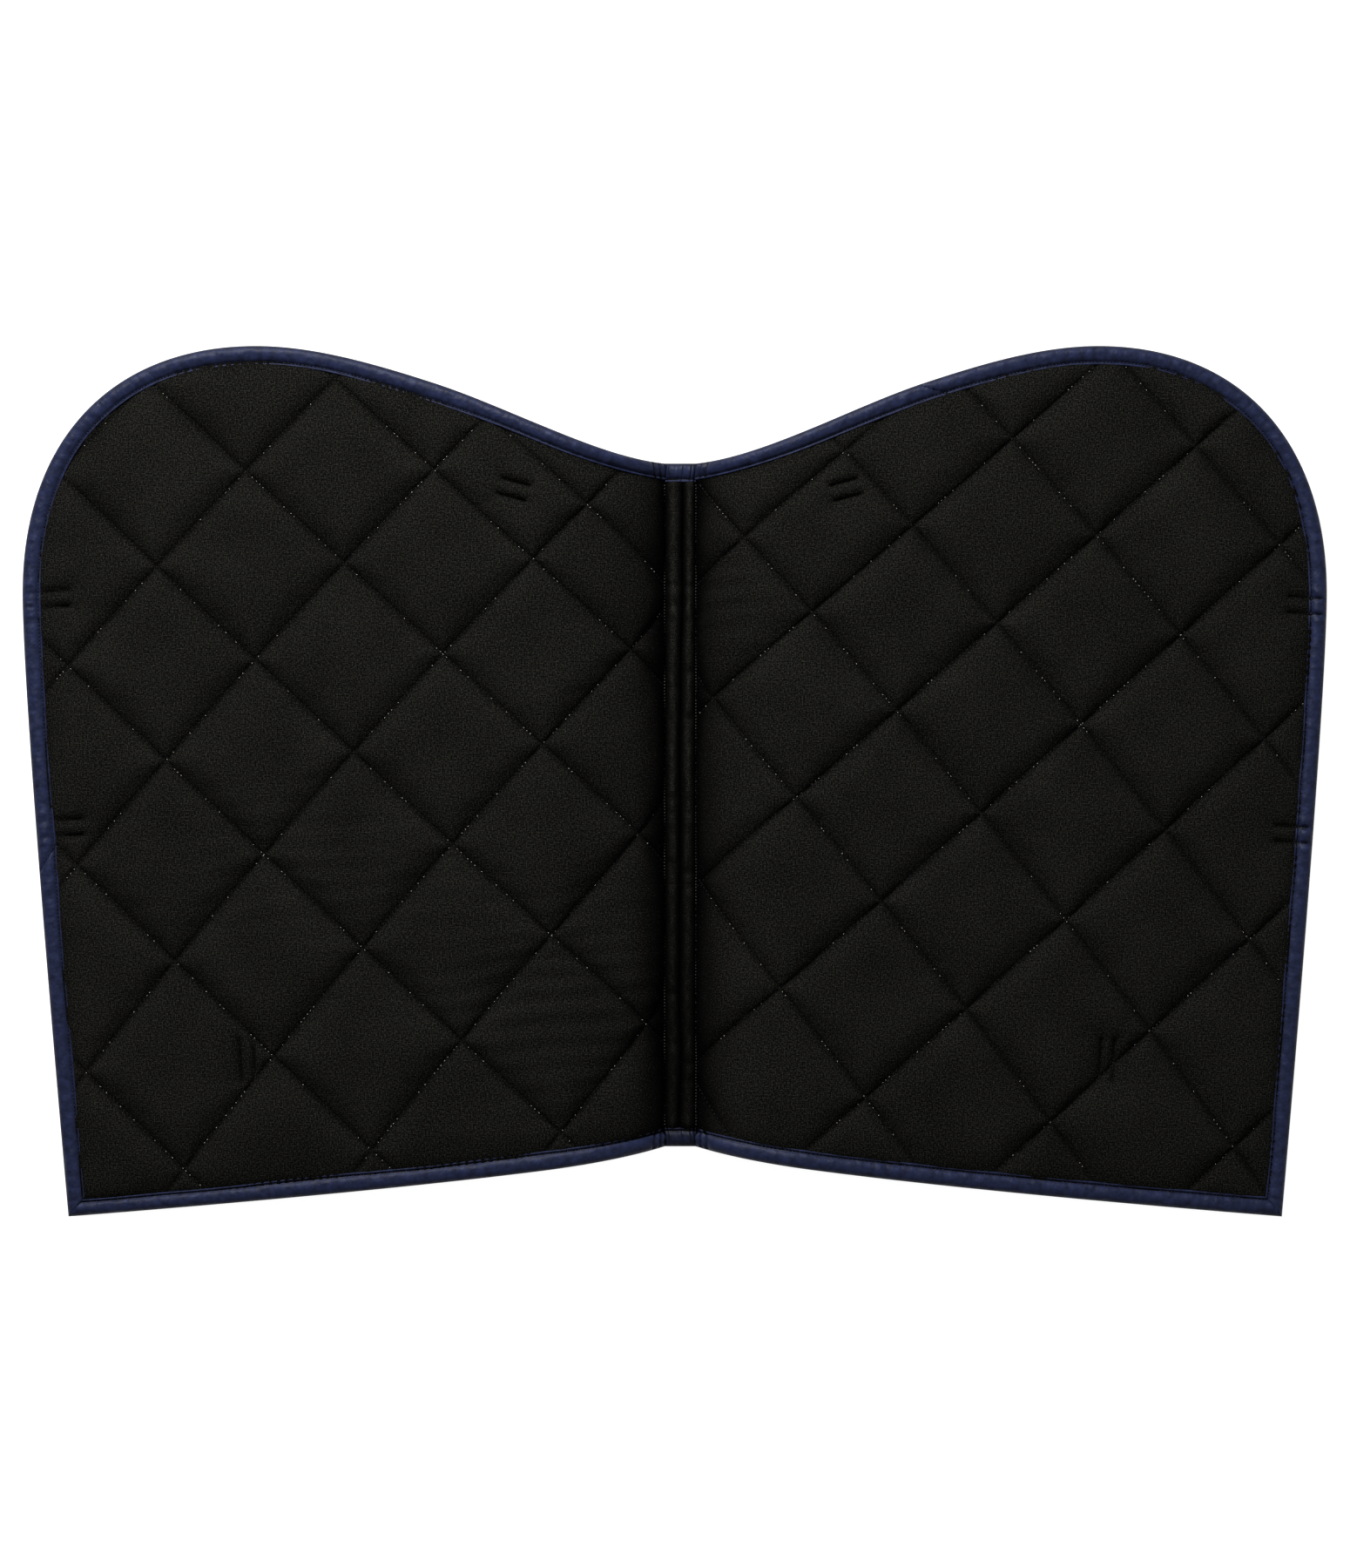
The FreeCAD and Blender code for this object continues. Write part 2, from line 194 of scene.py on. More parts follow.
def lay(side, run, y, height):
    """Points over the flap: this far along its section from the hinge, at y, this high over its middle."""
    run, y, height = np.broadcast_arrays(np.asarray(run, float), y, height)
    x, z, nx, nz = middle(run, y)
    x = x + nx * height
    z = z + nz * height
    x = x + EDGE_SHIFT[side] * np.clip((x - BEND_X) / (EDGE_X - BEND_X), 0, 1.1)
    return np.stack([SIDES[side] * x, y, z], -1)


def face_places(side, run, y, ahead_run, ahead_y, height, face):
    """Places on the flap, the way ahead from each and the way out of its face, 1 above or -1 below."""
    here = lay(side, run, y, height)
    return here, lay(side, ahead_run, ahead_y, height) - here, lay(side, run, y, height + face * MM) - here


def plan_places(side, spot, ahead, height, face):
    """The same from plan points and the points ahead of them."""
    return face_places(side, run_of(spot[:, 0]), spot[:, 1], run_of(ahead[:, 0]), ahead[:, 1], height, face)


def bezier(poles, t):
    p = np.array(poles, float)
    t = np.asarray(t)[:, None]
    return (1 - t) ** 3 * p[0] + 3 * (1 - t) ** 2 * t * p[1] + 3 * (1 - t) * t ** 2 * p[2] + t ** 3 * p[3]


def curve_points(first, last, step=1.3 * MM):
    """Evenly spaced points down some of the outline's curves, with inward normals and their run so far."""
    fine = [bezier(FLAP_POLES[3 * k:3 * k + 4], np.linspace(0, 1, 400)) for k in range(first, last)]
    line = np.concatenate([fine[0]] + [part[1:] for part in fine[1:]])
    along = lengths(line)
    at = np.linspace(0, along[-1], int(along[-1] / step) + 1)
    points = np.stack([np.interp(at, along, line[:, k]) for k in range(2)], 1)
    ahead = unit(np.gradient(points, axis=0))
    return points, np.stack([ahead[:, 1], -ahead[:, 0]], 1), at


SIDE_OUTLINE = curve_points(0, CORNER_CURVE)
REAR_OUTLINE = curve_points(CORNER_CURVE, CURVES)
EDGE_POINTS, EDGE_NORMALS = [np.concatenate([a, b]) for a, b in zip(SIDE_OUTLINE[:2], REAR_OUTLINE[:2])]


def depth_inside(x, y):
    """How far plan points are inside the flap's finished edge. Negative outside it."""
    spots = np.stack([np.ravel(x), np.ravel(y)], 1)
    depth = np.empty(len(spots))
    for start in range(0, len(spots), 4000):
        away = spots[start:start + 4000, None] - EDGE_POINTS[None]
        nearest = np.argmin((away ** 2).sum(-1), axis=1)
        rows = np.arange(len(nearest))
        depth[start:start + 4000] = (away[rows, nearest] * EDGE_NORMALS[nearest]).sum(-1)
    return depth.reshape(np.shape(x))


def wobble(x, y, size, seed=0.0):
    """Smooth noise from -1 to 1 at each point, with features of this size."""
    x, y = np.broadcast_arrays(x, y)
    values = [noise.noise(Vector((a, b, seed))) for a, b in zip(np.ravel(x) / size, np.ravel(y) / size)]
    return np.array(values).reshape(x.shape)


# ---------------------------------------------------------------- quilting
def quilt_frame(side):
    """A crossing of two seams on the evenly quilted cloth, and the two sides of a square."""
    (run, y), up, down, _ = QUILTING[side]
    sides = QUILT * np.array([[math.cos(up), math.sin(up)], [math.cos(down), math.sin(down)]])
    return np.array([run, y]), sides


def skewed(run):
    return 1 - QUILT_SKEW * (run - QUILT_SKEW_FROM)


def quilt_to_flat(side, a, b):
    """(run, y) of a place counted in squares along the two directions of seams."""
    origin, sides = quilt_frame(side)
    even = origin + a[..., None] * sides[0] + b[..., None] * sides[1]
    run, level = even[..., 0], even[..., 1]
    slope = skewed(run)
    return run, (np.sqrt(slope * slope + 4 * QUILT_DRAW * level) - slope) / (2 * QUILT_DRAW)


def flat_to_quilt(side, run, y):
    origin, sides = quilt_frame(side)
    even = np.stack([run, y * skewed(run) + QUILT_DRAW * y * y], -1) - origin
    squares = even @ np.linalg.inv(sides)
    return squares[..., 0], squares[..., 1]


def seam_lines(side):
    """Positions of the seams of either direction, in squares."""
    lines = np.arange(-SEAM_COUNT, SEAM_COUNT + 1.0)
    withers = QUILTING[side][3]
    return lines, np.where(lines <= -3, lines + 3 + withers, lines)


def seam_distance(side, a, b):
    """How far each place is from the nearest quilting seam."""
    nearest = np.full(np.shape(a), 1.0)
    for value, lines in zip((a, b), seam_lines(side)):
        for line in lines:
            nearest = np.minimum(nearest, QUILT * np.abs(value - line))
    return nearest


def turned(centre, turn, points):
    """Plan points of a patch, turned about its centre."""
    c, s = math.cos(turn), math.sin(turn)
    return [(centre[0] + x * c - y * s, centre[1] + x * s + y * c) for x, y in points]


def strap_rows(side):
    """Rows of stitching through the pad that hold the straps and the badge, as pairs of plan points."""
    rows = []
    half = KEEPER_WIDTH / 2 - 1 * MM
    for end in (-1, 1):
        for reach in (ROW_FROM_MIDDLE, ROW_FROM_MIDDLE - ROW_GAP):
            rows.append(turned(KEEPER[side], KEEPER_TURN, [(-half, end * reach), (half, end * reach)]))
    for level in (-ROW_GAP / 2, ROW_GAP / 2):
        rows.append(turned(TAB_ROOT, TAB_TURN, [(-12 * MM, level), (12 * MM, level)]))
    for level in (-6 * MM, 6 * MM):
        rows.append(turned(BADGE_AT, BADGE_TURN, [(level, -18 * MM), (level, 18 * MM)]))
    return rows


def distance_to_rows(rows, x, y):
    nearest = np.full(np.shape(x), 1.0)
    for (ax, ay), (bx, by) in rows:
        length2 = (bx - ax) ** 2 + (by - ay) ** 2
        t = np.clip(((x - ax) * (bx - ax) + (y - ay) * (by - ay)) / length2, 0, 1)
        nearest = np.minimum(nearest, np.hypot(x - ax - t * (bx - ax), y - ay - t * (by - ay)))
    return nearest


def rise(distance, width):
    """0 at a seam, nearly 1 a few widths from it, with a sharp crease at the seam itself."""
    return 1 - np.exp(-np.maximum(distance, 0) / width)


def puff(distance):
    """A pillow's height beside a seam, as a share of its full height."""
    return 0.26 * rise(distance, CREASE_WIDTH) + 0.74 * rise(distance, CROWN_WIDTH)


def pinched(run):
    """Half thickness of the sandwich at its seams: it thins towards the spine."""
    return SEAM_HALF * (0.35 + 0.65 * smooth(run / PINCH_RUN))


def loft(side, run, y):
    """How thick the sandwich is over its seams, 0 to about 1, and how far each point is from a seam."""
    seam = seam_distance(side, *flat_to_quilt(side, run, y))
    x = middle(run, y)[0]
    edge = depth_inside(x, y) - BINDING_SEAM
    rows = distance_to_rows(strap_rows(side), x, y)
    at_rows = 0.45 * rise(rows, 1.0 * MM) + 0.55 * rise(rows, 6 * MM)
    full = puff(seam) * (0.35 * rise(edge, 3 * MM) + 0.65 * rise(edge, 14 * MM)) * puff(run) * at_rows
    nearest = np.minimum(np.minimum(seam, np.maximum(edge, 0)), np.minimum(run, rows))
    return full, nearest


def creases(side, run, y):
    """Soft folds: a general unevenness, and ridges beside the spine, at the left rear and the right front."""
    folds = 0.45 * MM * wobble(run, y, 0.07, 3.0 + SIDES[side]) + 0.22 * MM * wobble(run, y, 0.022, 9.0)
    if side == "left":
        sway = 10 * MM * wobble(run, y, 0.08, 21.0)
        ridges = np.sin((y + sway + 0.10 * run) * 2 * math.pi / 0.020)
        near = bell(run - 0.11, 0.10) * bell(y + 0.19, 0.08)
        far = 0.6 * bell(run - 0.33, 0.11) * bell(y + 0.07, 0.07)
        folds = folds + 1.5 * MM * ridges * (near + far)
    else:
        sway = 6 * MM * wobble(run, y, 0.06, 22.0)
        ridges = np.sin((y + sway) * 2 * math.pi / 0.02)
        folds = folds + 0.9 * MM * ridges * bell(run - 0.04, 0.035) * bell(y - 0.16, 0.04)
    return folds


def painted_shade(side, run, y, nearest):
    """How light the cloth is painted, 0 to 1: painted shade in the creases at the seams, the strap rows and
    the edges, and in the valley beside the spine.
    """
    # Painted shade in the valley beside the spine: deeper towards the rear, and deeper on the left flap than
    # on the right.
    rear = smooth((0.15 - y) / 0.35)
    depth = (0.45 + 0.25 * rear) if side == "left" else (0.45 + 0.15 * rear)
    seam = seam_distance(side, *flat_to_quilt(side, run, y))
    reach = (19 if side == "left" else 14) * MM * (1.5 - 0.8 * smooth(seam / (35 * MM)))
    valley = (1 - depth * bell(run, 26 * MM)) * (0.06 + 0.94 * smooth((run - 3 * MM) / reach))
    return (0.50 + 0.50 * (0.85 * rise(nearest, 1.1 * MM) + 0.15 * rise(nearest, 8 * MM))) * valley


def pressed(side, x, y):
    """1 under what is sewn flat on the outer face, 0 away from it."""
    amount = np.zeros(np.shape(x))
    end = (KEEPER_SPAN - KEEPER_SEWN) / 2
    patches = [(KEEPER[side], KEEPER_TURN, (0, sign * end), KEEPER_WIDTH, KEEPER_SEWN) for sign in (-1, 1)]
    patches += [(TAB_ROOT, TAB_TURN, (0, 2 * MM), TAB_WIDTH, 20 * MM),
                (BADGE_AT, BADGE_TURN, (0, 0), BADGE_WIDTH, BADGE_LENGTH)]
    for (cx, cy), turn, (ox, oy), width, length in patches:
        c, s = math.cos(turn), math.sin(turn)
        u = (x - cx) * c + (y - cy) * s - ox
        v = (y - cy) * c - (x - cx) * s - oy
        outside = np.maximum(np.abs(u) - width / 2, np.abs(v) - length / 2)
        amount = np.maximum(amount, smooth(1 - outside / (6 * MM)))
    return amount


def refine(mesh, side):
    """Divides the flat cloth more finely round the rows of stitching that hold the straps."""
    run, y, _ = np.array([(edge.verts[0].co + edge.verts[1].co) / 2 for edge in mesh.edges]).T
    near = distance_to_rows(strap_rows(side), middle(np.maximum(run, 0), y)[0], y) < 9 * MM
    chosen = [edge for edge, close in zip(mesh.edges, near) if close]
    bmesh.ops.subdivide_edges(mesh, edges=chosen, cuts=2, use_grid_fill=True)


def flat_cloth(side, divisions):
    """One flap's cloth before it is laid: (run, y) points and faces, on a grid that follows the seams."""
    corners_run, corners_y = np.meshgrid([0.0, 0.60], [-0.40, 0.40])
    a, b = flat_to_quilt(side, corners_run, corners_y)
    even = np.arange(divisions) / divisions
    steps = 0.3 * even + 0.7 * (0.5 - 0.5 * np.cos(np.pi * even))
    ticks = []
    for value, lines in zip((a, b), seam_lines(side)):
        spans = [low + steps * (high - low) for low, high in zip(lines, lines[1:])
                 if high > value.min() - 1 and low < value.max() + 1]
        ticks.append(np.concatenate(spans))
    grid_a, grid_b = np.meshgrid(*ticks, indexing="ij")
    run, y = quilt_to_flat(side, grid_a, grid_b)
    inside = (run > -0.02) & (run < 0.62) & (np.abs(y) < 0.41)
    inside[inside] = depth_inside(middle(np.maximum(run[inside], 0), y[inside])[0], y[inside]) > 5.5 * MM
    keep = inside[:-1, :-1] & inside[1:, :-1] & inside[1:, 1:] & inside[:-1, 1:]
    index = np.arange(run.size).reshape(run.shape)
    i, j = np.nonzero(keep)
    faces = np.stack([index[i, j], index[i + 1, j], index[i + 1, j + 1], index[i, j + 1]], 1)
    used, faces = np.unique(faces, return_inverse=True)
    flat = np.stack([run.ravel()[used], y.ravel()[used], np.zeros(len(used))], 1)
    mesh = bmesh.new()
    verts = [mesh.verts.new(co) for co in flat]
    for face in faces.reshape(-1, 4):
        mesh.faces.new([verts[k] for k in face])
    if divisions == DIVISIONS:
        refine(mesh, side)
    bmesh.ops.bisect_plane(mesh, geom=mesh.verts[:] + mesh.edges[:] + mesh.faces[:],
                           plane_co=(0.4 * MM, 0, 0), plane_no=(1, 0, 0), clear_inner=True, dist=1e-6)
    bmesh.ops.recalc_face_normals(mesh, faces=mesh.faces[:])
    mesh.verts.index_update()
    points = np.array([v.co for v in mesh.verts])
    faces = [[v.index for v in face.verts] for face in mesh.faces]
    mesh.free()
    return points[:, 0], points[:, 1], faces


# ---------------------------------------------------------------- mesh helpers
def build(name, points, faces, uv=None, material=None, painted_light=None):
    """A mesh object from points and faces. A point may have a uv in metres of cloth, and its painted light
    and shade.
    """
    mesh = bpy.data.meshes.new(name)
    mesh.from_pydata(np.asarray(points, float).tolist(), [], [[int(k) for k in face] for face in faces])
    if uv is not None:
        layer = mesh.uv_layers.new(name="cloth")
        order = np.empty(len(mesh.loops), np.int32)
        mesh.loops.foreach_get("vertex_index", order)
        layer.data.foreach_set("uv", np.asarray(uv, np.float32)[order].ravel())
    if painted_light is not None:
        shades = mesh.attributes.new("painted_light", "FLOAT", "POINT")
        shades.data.foreach_set("value", np.asarray(painted_light, np.float32))
    mesh.polygons.foreach_set("use_smooth", [True] * len(mesh.polygons))
    mesh.update()
    piece = bpy.data.objects.new(name, mesh)
    bpy.context.scene.collection.objects.link(piece)
    if material:
        mesh.materials.append(material)
    return piece


def baked(piece):
    """Applies the piece's modifiers to its mesh."""
    bpy.context.view_layer.update()
    graph = bpy.context.evaluated_depsgraph_get()
    shown = piece.evaluated_get(graph)
    mesh = bpy.data.meshes.new_from_object(shown, preserve_all_data_layers=True, depsgraph=graph)
    piece.modifiers.clear()
    piece.data = mesh
    return piece


def thicken(piece, thickness):
    """Gives a sheet its thickness, behind its faces."""
    solid = piece.modifiers.new("cloth", "SOLIDIFY")
    solid.thickness = thickness
    solid.offset = -1.0
    return baked(piece)


def outward(piece):
    """Points every face of a closed piece outwards."""
    mesh = bmesh.new()
    mesh.from_mesh(piece.data)
    bmesh.ops.recalc_face_normals(mesh, faces=mesh.faces[:])
    mesh.to_mesh(piece.data)
    mesh.free()
    return piece


def grid_faces(rows, columns, closed=False):
    """Quads between a grid's points, numbered row by row. A closed one joins its last column to its first."""
    r, c = np.meshgrid(np.arange(rows - 1), np.arange(columns if closed else columns - 1), indexing="ij")
    d = (c + 1) % columns
    quads = np.stack([r * columns + c, r * columns + d, (r + 1) * columns + d, (r + 1) * columns + c], -1)
    return quads.reshape(-1, 4).tolist()


def sweep(name, rings, uv, material, painted_light=None):
    """A closed tube through rings of points, with flat caps."""
    rings = np.asarray(rings)
    rows, columns = rings.shape[:2]
    faces = grid_faces(rows, columns, closed=True)
    faces.append(list(range(columns))[::-1])
    faces.append([(rows - 1) * columns + c for c in range(columns)])
    uv = np.asarray(uv, float).reshape(-1, 2)
    return outward(build(name, rings.reshape(-1, 3), faces, uv, material, painted_light))


def slab(name, over, under, uv, material, painted_light=None):
    """A closed piece between an upper and a lower grid of points."""
    rows, columns = over.shape[:2]
    number = np.arange(rows * columns).reshape(rows, columns)
    rim = np.concatenate([number[0], number[1:, -1], number[-1, -2::-1], number[-2:0:-1, 0]]).tolist()
    count = number.size
    walls = [[a, b, b + count, a + count] for a, b in zip(rim, rim[1:] + rim[:1])]
    faces = grid_faces(rows, columns)
    below = [[k + count for k in quad[::-1]] for quad in faces]
    points = np.concatenate([over.reshape(-1, 3), under.reshape(-1, 3)])
    uv = np.tile(uv.reshape(-1, 2), (2, 1))
    return outward(build(name, points, faces + below + walls, uv, material, painted_light))


def cut(piece, point, normal, reach):
    """Cuts away what is in front of a plane, within reach of a point, and closes the cut."""
    mesh = bmesh.new()
    mesh.from_mesh(piece.data)
    faces = [f for f in mesh.faces if (f.calc_center_median() - point).length < reach]
    edges = list(dict.fromkeys(e for f in faces for e in f.edges))
    verts = list(dict.fromkeys(v for f in faces for v in f.verts))
    found = bmesh.ops.bisect_plane(mesh, geom=verts + edges + faces, plane_co=point, plane_no=normal,
                                   clear_outer=True, dist=1e-6)
    rim = [e for e in found["geom_cut"] if isinstance(e, bmesh.types.BMEdge)]
    bmesh.ops.holes_fill(mesh, edges=rim, sides=0)
    bmesh.ops.recalc_face_normals(mesh, faces=mesh.faces[:])
    mesh.to_mesh(piece.data)
    mesh.free()
    return piece


STITCH_SIDES = 6
STITCH_PROFILE = np.array([(-0.5, 0.35), (-0.36, 0.9), (0.0, 1.0), (0.36, 0.9), (0.5, 0.35)])


def stitches(name, spots, length, radius, material):
    """Short stitches of thread, each a small bent rod: spots are their middles, directions and normals."""
    middles, ahead, up = spots
    ahead = unit(ahead)
    aside = unit(np.cross(up, ahead))
    up = np.cross(ahead, aside)
    along, girth = STITCH_PROFILE.T
    turn = 2 * math.pi * np.arange(STITCH_SIDES) / STITCH_SIDES
    right = radius * girth[:, None] * np.cos(turn)
    high = radius * (0.8 * girth[:, None] * np.sin(turn) + 0.6 * (1 - 4 * along * along)[:, None])
    shape = right.shape
    forward = np.broadcast_to((along * length)[:, None], shape)
    local = np.stack([forward, right, high], -1).reshape(-1, 3)
    points = middles[:, None] + np.einsum("pk,nkc->npc", local, np.stack([ahead, aside, up], 1))
    one = grid_faces(len(along), STITCH_SIDES, closed=True)
    corners = np.arange(STITCH_SIDES)
    caps = [corners[::-1], (len(along) - 1) * STITCH_SIDES + corners]
    bases = (np.arange(len(middles)) * len(local))[:, None, None]
    faces = (np.array(one) + bases).reshape(-1, 4).tolist()
    faces += (np.array(caps) + bases).reshape(-1, STITCH_SIDES).tolist()
    flat = np.stack([forward, np.broadcast_to(turn * radius, shape)], -1).reshape(-1, 2)
    return build(name, points.reshape(-1, 3), faces, np.tile(flat, (len(middles), 1)), material)


# ---------------------------------------------------------------- materials
class Cloth:
    """A material, and small helpers for wiring its nodes."""

    def __init__(self, name, colour, roughness, sheen=0.0, sheen_tint=(1, 1, 1, 1), specular=0.5):
        self.colour = colour
        self.material = bpy.data.materials.new(name)
        self.material.use_nodes = True
        self.tree = self.material.node_tree
        self.shader = self.tree.nodes["Principled BSDF"]
        constants = {"Base Color": (*colour, 1), "Roughness": roughness, "Specular IOR Level": specular,
                     "Sheen Weight": sheen, "Sheen Roughness": 0.5, "Sheen Tint": sheen_tint}
        for socket, value in constants.items():
            self.shader.inputs[socket].default_value = value

    def node(self, kind, **settings):
        made = self.tree.nodes.new(kind)
        for key, value in settings.items():
            setattr(made, key, value)
        return made

    def wire(self, source, target):
        if hasattr(source, "is_output"):
            self.tree.links.new(source, target)
        else:
            target.default_value = source

    def math(self, operation, a, b=0.0, c=None):
        made = self.node("ShaderNodeMath", operation=operation)
        self.wire(a, made.inputs[0])
        self.wire(b, made.inputs[1])
        if c is not None:
            self.wire(c, made.inputs[2])
        return made.outputs[0]

    def plus(self, a, b):
        return self.math("ADD", a, b)

    def times(self, a, b):
        return self.math("MULTIPLY", a, b)

    def scale(self, value, factor, shift):
        """value * factor + shift"""
        return self.math("MULTIPLY_ADD", value, factor, shift)

    def cloth(self):
        """The cloth's own coordinates, in millimetres: across and along."""
        uv = self.node("ShaderNodeUVMap", uv_map="cloth")
        split = self.node("ShaderNodeSeparateXYZ")
        self.wire(uv.outputs[0], split.inputs[0])
        return self.times(split.outputs[0], 1000.0), self.times(split.outputs[1], 1000.0)

    # Reads the painted light and shade stored on the mesh's points.
    def painted_light(self):
        return self.node("ShaderNodeAttribute", attribute_name="painted_light").outputs["Fac"]

    def noise(self, size, detail=2.0, roughness=0.5):
        """Noise from 0 to 1 on the cloth, with features of this many millimetres."""
        uv = self.node("ShaderNodeUVMap", uv_map="cloth")
        made = self.node("ShaderNodeTexNoise", noise_dimensions="2D")
        made.inputs["Scale"].default_value = 1000.0 / size
        made.inputs["Detail"].default_value = detail
        made.inputs["Roughness"].default_value = roughness
        self.wire(uv.outputs[0], made.inputs["Vector"])
        return made.outputs[0]

    def sine(self, value, period, phase=0.0):
        return self.math("SINE", self.math("MULTIPLY_ADD", value, 2 * math.pi / period, phase))

    def ramp(self, value, stops):
        made = self.node("ShaderNodeValToRGB")
        ramp = made.color_ramp
        while len(ramp.elements) < len(stops):
            ramp.elements.new(0.5)
        for element, (position, colour) in zip(ramp.elements, stops):
            element.position = position
            element.color = (*colour, 1)
        self.wire(value, made.inputs[0])
        return made.outputs[0]

    def bump(self, height, distance, strength=1.0, under=None):
        made = self.node("ShaderNodeBump")
        made.inputs["Strength"].default_value = strength
        made.inputs["Distance"].default_value = distance
        self.wire(height, made.inputs["Height"])
        if under is not None:
            self.wire(under, made.inputs["Normal"])
        return made.outputs[0]

    def painted(self, value, stops, relief):
        """Wires the relief, and the colour by a value. A stop is a value and a factor on the colour."""
        stops = [(at, [min(1.0, c * factor) for c in self.colour]) for at, factor in stops]
        self.wire(self.ramp(value, stops), self.shader.inputs["Base Color"])
        self.wire(relief, self.shader.inputs["Normal"])
        return self.material


def lining_material():
    """Black canvas-weave lining: fat diagonal stitches in offset rows, slubs and a little lint."""
    g = Cloth("lining_cloth", (0.0040, 0.0039, 0.0034), 0.9, specular=0.015)
    across, along = g.cloth()
    drift = g.scale(g.noise(9.0), 1.6, -0.8)
    u = g.plus(g.plus(across, along), drift)
    v = g.math("SUBTRACT", g.math("SUBTRACT", across, along), drift)
    weave = g.times(g.sine(u, 2.6), g.sine(v, 3.0))
    grain = g.noise(1.5, 2.0, 0.8)
    tone = g.scale(weave, 0.24, g.scale(grain, 2.0, -0.5))
    tone = g.plus(tone, g.scale(g.noise(60.0, 3.0), 0.2, -0.1))
    lint = g.times(g.math("SUBTRACT", g.noise(1.0, 0.0), 0.80), 9.0)
    # The painted shade darkens the weave; bright lint is added on top.
    lit = g.plus(g.times(tone, g.painted_light()), g.math("MAXIMUM", lint, 0.0))
    return g.painted(lit, [(0.0, 0.02), (0.5, 1), (1.0, 5.5)], g.bump(tone, 0.4 * MM, 0.7))


def shell_material():
    """Navy cotton twill: fine steep diagonal ribs."""
    g = Cloth("shell_cloth", (0.0085, 0.0110, 0.0330), 0.8, sheen=0.05,
              sheen_tint=(0.6, 0.65, 1, 1), specular=0.12)
    across, along = g.cloth()
    drift = g.scale(g.noise(14.0), 0.8, -0.4)
    rib = g.sine(g.plus(g.scale(along, 0.55, across), drift), 1.1)
    tone = g.scale(rib, 0.25, g.times(g.noise(1.5, 3.0, 0.7), 0.9))
    tone = g.plus(tone, g.scale(g.noise(70.0, 2.0), 0.3, -0.1))
    # The painted shade, at a little over half strength, darkens the twill.
    lit = g.times(tone, g.scale(g.painted_light(), 0.6, 0.4))
    return g.painted(lit, [(0.0, 0.25), (0.5, 1), (0.95, 2.0)], g.bump(tone, 0.3 * MM, 0.6))


def satin_material():
    """Navy satin binding tape: long floats across the tape, crushed here and there, with painted shade in its
    folds.
    """
    g = Cloth("binding_satin", (0.0088, 0.0120, 0.0345), 0.45, sheen=0.02,
              sheen_tint=(0.6, 0.65, 1, 1), specular=0.10)
    along = g.cloth()[1]
    floats = g.sine(g.plus(along, g.times(g.noise(5.0), 1.5)), 0.8)
    tone = g.scale(floats, 0.10, g.scale(g.noise(7.0, 4.0, 0.6), 0.9, 0.05))
    # The painted shade darkens the tape at its edge, its groove, the strap rows and its folds.
    lit = g.times(tone, g.painted_light())
    g.wire(g.scale(g.noise(12.0, 3.0), 0.2, 0.38), g.shader.inputs["Roughness"])
    crush = g.bump(g.noise(11.0, 2.0, 0.5), 1.6 * MM, 0.7)
    relief = g.bump(floats, 0.06 * MM, 0.4, under=crush)
    return g.painted(lit, [(0.0, 0.02), (0.5, 1), (0.85, 1.7)], relief)


def webbing_material():
    """Navy webbing: a herringbone of fat yarns."""
    g = Cloth("webbing", (0.0090, 0.0112, 0.0300), 0.6, sheen=0.05, specular=0.25)
    across, along = g.cloth()
    zigzag = g.math("ABSOLUTE", g.math("SUBTRACT", g.math("FRACT", g.times(across, 1 / 7.0)), 0.5))
    yarn = g.sine(g.scale(zigzag, 9.0, along), 1.7)
    rib = g.sine(across, 1.4)
    tone = g.scale(g.times(yarn, g.scale(rib, 0.3, 0.7)), 0.35, 0.4)
    tone = g.plus(tone, g.times(g.noise(1.2, 3.0), 0.25))
    return g.painted(tone, [(0.1, 0.35), (0.5, 1), (0.9, 2.4)], g.bump(tone, 0.6 * MM, 0.9))


def fuzzy_material(name, colour, size, roughness, height):
    """Wadding, loop tape and hook tape: tiny tufts."""
    g = Cloth(name, colour, roughness, sheen=0.1, specular=0.2)
    tufts = g.noise(size, 4.0, 0.7)
    return g.painted(tufts, [(0.25, 0.5), (0.5, 1), (0.75, 1.6)], g.bump(tufts, height, 0.9))


def thread_material(name, colour):
    """Twisted sewing thread."""
    g = Cloth(name, colour, 0.5, specular=0.25)
    across, along = g.cloth()
    twist = g.sine(g.plus(across, along), 0.5)
    tone = g.scale(twist, 0.35, 0.5)
    return g.painted(tone, [(0.1, 0.7), (0.9, 1.3)], g.bump(tone, 0.1 * MM, 0.5))


def leather_material():
    """Plain dark grained patch."""
    g = Cloth("badge_leather", (0.016, 0.014, 0.015), 0.5, specular=0.4)
    uv = g.node("ShaderNodeUVMap", uv_map="cloth")
    cells = g.node("ShaderNodeTexVoronoi")
    cells.inputs["Scale"].default_value = 900.0
    g.wire(uv.outputs[0], cells.inputs["Vector"])
    tone = g.plus(cells.outputs["Distance"], g.times(g.noise(4.0), 0.3))
    return g.painted(tone, [(0.1, 0.6), (0.9, 1.5)], g.bump(tone, 0.25 * MM, 0.6))


